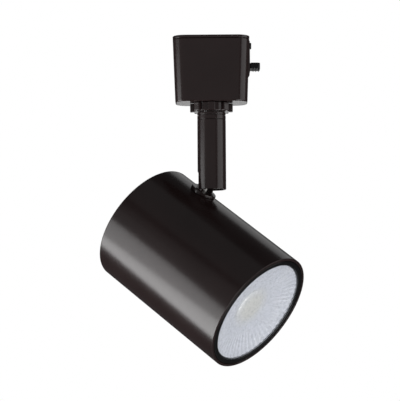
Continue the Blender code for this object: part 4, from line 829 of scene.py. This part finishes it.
def lug(half_width, end, low, high):
    """A flat lug in the XZ plane: a round eye about the Y axis, and a straight shank to z = end."""
    spread = math.asin(half_width / EYE_RADIUS)
    sign = math.copysign(1.0, end)
    outline = [(half_width, end)]
    steps = 36
    for step in range(steps + 1):
        angle = -math.pi / 2 + spread + (math.tau - 2 * spread) * step / steps
        outline.append((EYE_RADIUS * math.cos(angle), -sign * EYE_RADIUS * math.sin(angle)))
    outline.append((-half_width, end))
    return prism(outline, low, high, "Y", 0.15 * MM)


def build_swivel_block():
    high = extent("swivel_block", PIN)[1]
    base = BLOCK_ABOVE_PIN
    radius = high.y
    outline = [(AXIS_GAP, high.z), (radius, high.z), (radius, base), (AXIS_GAP, base)]
    body = turned(rounded(outline, [0, 0.3 * MM, 0.5 * MM, 0], closed=False), MEDIUM, closed=False)
    cheeks = [lug(CHEEK_HALF_WIDTH, base + 1 * MM, *sorted((side * CHEEK_INNER, side * CHEEK_OUTER)))
              for side in (-1, 1)]
    cutters = [rod(PIN_RADIUS + PIN_CLEARANCE, -radius, radius, "Y"),
               rod(SLEEVE_RADIUS + 0.5 * MM, base - 2 * MM, high.z + 1 * MM)]
    mesh = carve(join_shapes(body, cheeks), cutters)
    add_piece("swivel_knuckle", mesh, PIN, "stem", STEEL, "zinc_steel", "swivel_block")


def build_pivot_pin():
    low, high = extent("pivot_pin", PIN)
    outline = [(AXIS_GAP, high.y), (PIN_RADIUS, high.y), (PIN_RADIUS, low.y), (AXIS_GAP, low.y)]
    pin = turned(rounded(outline, [0, 0.4 * MM, 0.4 * MM, 0], closed=False), SMALL, closed=False)
    pin.transform(Matrix.Rotation(-math.pi / 2, 4, "X"))
    add_piece("pivot_pin_fine", pin, PIN, "stem", STEEL, "zinc_steel", "pivot_pin")


def build_joint_lead():
    """The supply lead's flexing loop, which passes behind the tilt pin from the stem into the head."""
    top = extent("stem_lead_sleeve", PIN)[0].z
    bottom = extent("head_lead_sleeve", TILT)[1].z
    clear = PIN_RADIUS + SLEEVE_RADIUS + 0.25 * MM
    start = PIN @ Vector((0, 0, top))
    end = TILT @ Vector((0, 0, bottom))
    points = [start, PIN @ Vector((-0.3 * MM, 0, top - 0.8 * MM)), PIN @ Vector((-clear, 0, 1.2 * MM)),
              PIN @ Vector((-clear - 0.3 * MM, 0, -0.6 * MM)),
              TILT @ Vector((-clear * 0.75, 0, -2.2 * MM)),
              TILT @ Vector((-0.2 * MM, 0, bottom + 1.2 * MM)), end]
    lead = tube_along(points, SLEEVE_RADIUS * 0.96)
    add_bending_piece("joint_lead", lead, ("stem", "head"), start, end, LEAD, "lead_insulation")


# ============================================================================
# Tilt bracket, in the tilt frame: X to the front of the head, Y along the pin, Z away from the head
# ============================================================================
HEAD_CENTRE_Z = (TILT.inverted() @ HEAD.translation).z
BASE_TOP = HEAD_CENTRE_Z + HEAD_RADIUS + GAP + BASE_THICKNESS


def build_tilt_bracket():
    radius = extent("tilt_bracket", TILT)[1].x
    outline = [(AXIS_GAP, BASE_TOP), (radius, BASE_TOP), (radius, BASE_TOP - BASE_STOCK),
               (AXIS_GAP, BASE_TOP - BASE_STOCK)]
    base = turned(rounded(outline, [0, 0.45 * MM, 0, 0], closed=False), MEDIUM, closed=False)
    head = rod(HEAD_RADIUS + GAP, -2 * radius, 2 * radius, "X", (0.0, HEAD_CENTRE_Z), 320)
    base = carve(base, [head])
    lugs = [lug(LUG_WIDTH / 2, BASE_TOP - 1 * MM, *sorted((side * LUG_INNER, side * LUG_OUTER)))
            for side in (-1, 1)]
    cutters = [rod(PIN_RADIUS + PIN_CLEARANCE, -radius, radius, "Y"),
               rod(BUSHING_RADIUS + GAP, BASE_TOP - 8 * MM, BASE_TOP + 1 * MM)]
    mesh = carve(join_shapes(base, lugs), cutters)
    add_piece("tilt_saddle", mesh, TILT, "head", BRONZE, "bronze", "tilt_bracket")


def build_tilt_washers():
    for number in (1, 2):
        low, high = extent("tilt_washer_%d" % number, TILT)
        bore = PIN_RADIUS + PIN_CLEARANCE
        outline = [(bore, high.y), (high.x, high.y), (high.x, low.y), (bore, low.y)]
        washer = turned(rounded(outline, [0.05 * MM, 0.15 * MM, 0.15 * MM, 0.05 * MM]), SMALL)
        washer.transform(Matrix.Rotation(-math.pi / 2, 4, "X"))
        add_piece("tilt_washer_%d_fine" % number, washer, TILT, "head", STEEL, "zinc_steel",
                  "tilt_washer_%d" % number)


# ============================================================================
# Head, in the head frame: Z along the head from its rear plane, -X towards the stem
# ============================================================================
SCREW_SPOTS = [middle("rear_cap_screw_%d" % number, HEAD) for number in (1, 2, 3)]
PIVOT_HEIGHT = (HEAD.inverted() @ PIVOT).z


def build_head_shell():
    """The tube, its inner ledge and screw bosses; a short band of faces takes the bracket's holes."""
    shoulder = extent("heat_sink", HEAD)[1].z - SINK_SHOULDER
    rear_bore = HEAD_BORE - REAR_BORE_STEP
    ledge = HEAD_BORE - REAR_LEDGE
    band = 12 * MM
    outline = [(HEAD_BORE, HEAD_LENGTH), (HEAD_RADIUS, HEAD_LENGTH), (HEAD_RADIUS, PIVOT_HEIGHT + band),
               (HEAD_RADIUS, PIVOT_HEIGHT - band), (HEAD_RADIUS, 0.0), (HEAD_BORE, 0.0),
               (HEAD_BORE, LEDGE_START), (ledge, LEDGE_START), (ledge, LEDGE_START + 1.5 * MM),
               (rear_bore, LEDGE_START + 3 * MM), (rear_bore, shoulder), (HEAD_BORE, shoulder)]
    sizes = [0.2 * MM, 0.3 * MM, 0, 0, 1.0 * MM, 0.3 * MM, 0, 0.2 * MM, 0.2 * MM, 0, 0, 0]
    shell = turned(rounded(outline, sizes), ROUND)
    bosses = []
    holes = []
    screw_hole = HEAD_SCREW_RADIUS + HEAD_SCREW_CLEARANCE
    for spot in SCREW_SPOTS:
        place = (spot.x, spot.y)
        for start in (LEDGE_START, shoulder - BOSS_LENGTH):
            end = start + BOSS_LENGTH
            bosses.append(rod(BOSS_RADIUS, start + 0.02 * MM, end - 0.02 * MM, at=place))
            holes.append(rod(screw_hole, start - 1 * MM, end + 1 * MM, at=place, sides=24))
    wall = (-HEAD_RADIUS - 1 * MM, -HEAD_BORE + 3 * MM)
    for offset in (-BRACKET_SCREW_SPACING / 2, BRACKET_SCREW_SPACING / 2):
        holes.append(rod(BRACKET_SCREW_RADIUS + GAP, *wall, "X", (0.0, PIVOT_HEIGHT + offset), 24))
    holes.append(rod(BUSHING_RADIUS + GAP, *wall, "X", (0.0, PIVOT_HEIGHT), 32))
    shell = carve(join_shapes(shell, bosses), holes)
    add_piece("head_shell", shell, HEAD, "head", BRONZE, "bronze", "head_housing")


def stadium(start, end, width, steps=10):
    """A slot outline with round ends along X."""
    half = width / 2
    points = []
    for step in range(steps + 1):
        angle = -math.pi / 2 + math.pi * step / steps
        points.append((end - half + half * math.cos(angle), half * math.sin(angle)))
    for step in range(steps + 1):
        angle = math.pi / 2 + math.pi * step / steps
        points.append((start + half + half * math.cos(angle), half * math.sin(angle)))
    return points


def build_rear_cap():
    low, high = extent("rear_cap", HEAD)
    sunk = low.z + REAR_RECESS_DEPTH
    outline = [(AXIS_GAP, high.z), (high.y, high.z), (high.y, low.z),
               (REAR_RECESS_OUTER + 1.0 * MM, low.z), (REAR_RECESS_OUTER, sunk),
               (REAR_RECESS_INNER, sunk), (REAR_RECESS_INNER - 0.8 * MM, low.z), (AXIS_GAP, low.z)]
    sizes = [0, 0.3 * MM, 0.4 * MM, 0.3 * MM, 0.3 * MM, 0.3 * MM, 0.3 * MM, 0]
    cap = turned(rounded(outline, sizes, closed=False), ROUND, closed=False)
    slot = prism(stadium(VENT_INNER, VENT_OUTER, VENT_WIDTH), low.z - 1 * MM, high.z + 1 * MM)
    cutters = [placed(slot, turn=math.tau * number / VENT_COUNT) for number in range(VENT_COUNT)]
    screw_hole = HEAD_SCREW_RADIUS + HEAD_SCREW_CLEARANCE
    for spot in SCREW_SPOTS:
        place = (spot.x, spot.y)
        cutters.append(rod(screw_hole, low.z - 1 * MM, high.z + 1 * MM, at=place))
        cutters.append(rod(HEAD_SCREW_HEAD + GAP, low.z - 1 * MM, low.z + 1.2 * MM, at=place))
    cap = soften(carve(cap, cutters), 0.12 * MM)
    add_piece("rear_cover", cap, HEAD, "head", BRONZE, "bronze", "rear_cap")
    screw = pan_screw(HEAD_SCREW_HEAD, HEAD_SCREW_HEIGHT, HEAD_SCREW_RADIUS, HEAD_SCREW_LENGTH)
    for number, spot in enumerate(SCREW_SPOTS, start=1):
        top = extent("rear_cap_screw_%d" % number, HEAD)[0].z
        copy = placed(screw, spot.x, spot.y, top, 0.7 * number, flip=True)
        add_piece("rear_screw_%d" % number, copy, HEAD, "head", STEEL, "zinc_steel",
                  "rear_cap_screw_%d" % number)


def build_bezel():
    low, high = extent("bezel", HEAD)
    outer = high.y
    inner = extent("lens", HEAD)[1].y - LENS_FLANGE
    rebate = outer - 0.4 * MM
    outline = [(inner, high.z), (outer, high.z), (outer, low.z), (rebate, low.z),
               (rebate, high.z - BEZEL_LIP), (inner, high.z - BEZEL_LIP)]
    sizes = [0.45 * MM, 0.3 * MM, 0.1 * MM, 0.1 * MM, 0, 0.1 * MM]
    ring = turned(rounded(outline, sizes), ROUND)
    add_piece("bezel_ring", ring, HEAD, "head", BEZEL, "bezel_black", "bezel")


def build_optic():
    """The lens: a clear face with a polished edge over a fluted collimator, warm at its middle."""
    front = HEAD_LENGTH - LENS_RECESS
    rim = extent("lens", HEAD)[1].y - LENS_FLANGE - GAP
    back = front - LENS_EDGE_THICKNESS
    inside = front - LENS_FACE_THICKNESS
    outline = [(AXIS_GAP, front), (rim, front), (rim, back), (rim - 1.2 * MM, back),
               (rim - 1.5 * MM, inside), (AXIS_GAP, inside)]
    face = turned(rounded(outline, [0, 0.4 * MM, 0.1 * MM, 0.1 * MM, 0.1 * MM, 0], closed=False), ROUND,
                  closed=False)
    add_piece("lens_face", face, HEAD, "head", COVER_GLASS, "clear_lens", "lens")

    loops = []
    rows = 46
    sides = FLUTE_COUNT * 6
    outer = rim - OPTIC_RIM_GAP
    for row in range(rows + 1):
        share = row / rows
        radius = outer * (1 - share) + 0.05 * MM * share
        bowl = OPTIC_DEPTH * (1 - (radius / outer) ** 1.6)
        floor = min(bowl, OPTIC_DEPTH * (1 - (CORE_RADIUS / outer) ** 1.6))
        dome = 0.0
        if radius < CORE_RADIUS:
            dome = CORE_DOME * math.sqrt(1 - (radius / CORE_RADIUS) ** 2)
        fade = min(1.0, max(0.0, (radius - CORE_RADIUS * 1.25) / (outer * 0.35)))
        loop = []
        for side in range(sides):
            angle = math.tau * side / sides
            flute = FLUTE_DEPTH * fade * abs(math.cos(FLUTE_COUNT * angle / 2))
            height = front - OPTIC_BELOW_FRONT - floor + dome - flute
            loop.append((radius * math.cos(angle), radius * math.sin(angle), height))
        loops.append(loop)
    back = front - OPTIC_SKIRT - OPTIC_DEPTH
    skirt = [(x, y, back) for x, y, _ in loops[0]]
    closing = [(x * 0.02, y * 0.02, back) for x, y, _ in loops[0]]
    optic = skin([closing, skirt] + loops)
    add_piece("lens_optic", optic, HEAD, "head", OPTIC, "clear_lens", "lens")


# ============================================================================
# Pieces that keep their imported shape
# ============================================================================
KEPT_FINISHES = {
    "contact_carrier": BLACK, "live_lead": LEAD, "neutral_lead": LEAD, "ground_lead": LEAD,
    "thrust_washer": WHITE, "swivel_shaft": STEEL, "stop_pin": STEEL,
    "lock_nut": BRASS, "stem_lead_sleeve": LEAD, "bracket_screw_1": STEEL, "bracket_screw_2": STEEL,
    "lead_bushing": RUBBER, "heat_sink": ALUMINIUM, "sink_screw_1": STEEL, "sink_screw_2": STEEL,
    "sink_screw_3": STEEL, "led_board": WHITE, "led_board_screw_1": STEEL, "led_board_screw_2": STEEL,
    "led_emitter": PHOSPHOR, "lens_holder": WHITE, "lens_gasket": RUBBER, "driver_tray": WHITE,
    "driver_board": BOARD, "transformer": TAPE, "rectifier": CASE, "input_terminal": WHITE,
    "output_terminal": WHITE, "capacitor_1": CASE, "capacitor_2": CASE, "head_lead_sleeve": LEAD,
    "led_lead": LEAD,
}


def finish_kept_nodes():
    for name, material in KEPT_FINISHES.items():
        mesh = frame["nodes"][name].data
        mesh.materials.clear()
        mesh.materials.append(material)


# ============================================================================
# Studio and camera
# ============================================================================
CAMERA_PLACE = Vector((0.0, -0.9945, -0.1672))
CAMERA_AIM = Vector((-0.00669, 0.0029, -0.0905))
CAMERA_ROLL = math.radians(-0.34)
LENS_FOCAL = 162.0
FLOOR_HEIGHT = -1.7
FLOOR_RADIUS = 2.4
STUDIO_MIDDLE = Vector((0.0, 0.0, -0.09))


def build_floor():
    bm = bmesh.new()
    bmesh.ops.create_circle(bm, cap_ends=True, segments=96, radius=FLOOR_RADIUS)
    bmesh.ops.translate(bm, vec=(0, 0, FLOOR_HEIGHT), verts=bm.verts)
    floor = add_object("floor", mesh_from(bm, "floor"))
    paint = make_material("floor_paint", (0.80, 0.80, 0.80), (0.84, 0.84, 0.84), (0.7, 0.8))
    floor.data.materials.append(paint)


def add_softbox(name, azimuth, elevation, distance, width, height, radiance):
    """A soft panel; azimuth is to the camera's left from straight behind the camera."""
    across = math.radians(azimuth)
    above = math.radians(elevation)
    direction = Vector((-math.sin(across) * math.cos(above), -math.cos(across) * math.cos(above),
                        math.sin(above)))
    data = bpy.data.lights.new(name, "AREA")
    data.shape = "RECTANGLE"
    data.size = width
    data.size_y = height
    data.energy = radiance * math.pi * width * height
    lamp = bpy.data.objects.new(name, data)
    lamp.location = STUDIO_MIDDLE + direction * distance
    lamp.rotation_euler = (-direction).to_track_quat("-Z", "Y").to_euler()
    lamp.visible_camera = False
    SCENE.collection.objects.link(lamp)


def build_studio():
    world = bpy.data.worlds.new("studio")
    SCENE.world = world
    world.use_nodes = True
    nodes = world.node_tree.nodes
    links = world.node_tree.links
    room = nodes["Background"]
    room.inputs["Color"].default_value = (0.97, 0.98, 1.0, 1)
    room.inputs["Strength"].default_value = 0.05
    paper = nodes.new("ShaderNodeBackground")
    paper.inputs["Color"].default_value = (1, 1, 1, 1)
    paper.inputs["Strength"].default_value = 1.0
    seen = nodes.new("ShaderNodeLightPath")
    mix = nodes.new("ShaderNodeMixShader")
    links.new(seen.outputs["Is Camera Ray"], mix.inputs["Fac"])
    links.new(room.outputs["Background"], mix.inputs[1])
    links.new(paper.outputs["Background"], mix.inputs[2])
    links.new(mix.outputs["Shader"], nodes["World Output"].inputs["Surface"])

    # name, azimuth, elevation, distance, width, height, radiance
    add_softbox("left_low", 82, -30, 1.3, 1.06, 0.75, 5.6)
    add_softbox("left_high", 82, -3, 1.3, 1.00, 0.45, 2.8)
    add_softbox("right", -74, 4, 1.3, 1.3, 1.3, 1.1)
    add_softbox("left_soft", 61, 15, 1.3, 0.30, 0.42, 0.32)
    add_softbox("behind", -176, -6, 1.6, 0.36, 0.28, 0.9)
    add_softbox("behind_high", -163, 33, 1.6, 1.1, 0.75, 0.48)
    add_softbox("front_low", -52, -42, 1.4, 1.2, 1.0, 3.3)
    add_softbox("front", 10, 12, 2.4, 4.4, 2.6, 0.22)
    add_softbox("above", 40, 68, 2.0, 2.2, 1.8, 0.14)
    SCENE.view_settings.view_transform = "Standard"


def build_camera():
    data = bpy.data.cameras.new("camera")
    data.sensor_width = 36.0
    data.sensor_fit = "HORIZONTAL"
    data.lens = LENS_FOCAL
    data.clip_start = 0.01
    camera = bpy.data.objects.new("camera", data)
    SCENE.collection.objects.link(camera)
    forward = (CAMERA_AIM - CAMERA_PLACE).normalized()
    side = forward.cross(UP).normalized()
    turn = Matrix.Rotation(CAMERA_ROLL, 3, -forward)
    side = turn @ side
    above = side.cross(forward)
    camera.matrix_world = frame_matrix(side, above, -forward, CAMERA_PLACE)
    SCENE.camera = camera


build_adapter_shell()
build_top_cover()
build_contacts()
build_springs()
build_lock_tab()
build_collar()
build_stem_cap()
build_stem_tube()
build_swivel_block()
build_pivot_pin()
build_tilt_bracket()
build_tilt_washers()
build_joint_lead()
build_head_shell()
build_rear_cap()
build_bezel()
build_optic()
finish_kept_nodes()
build_floor()
build_studio()
build_camera()
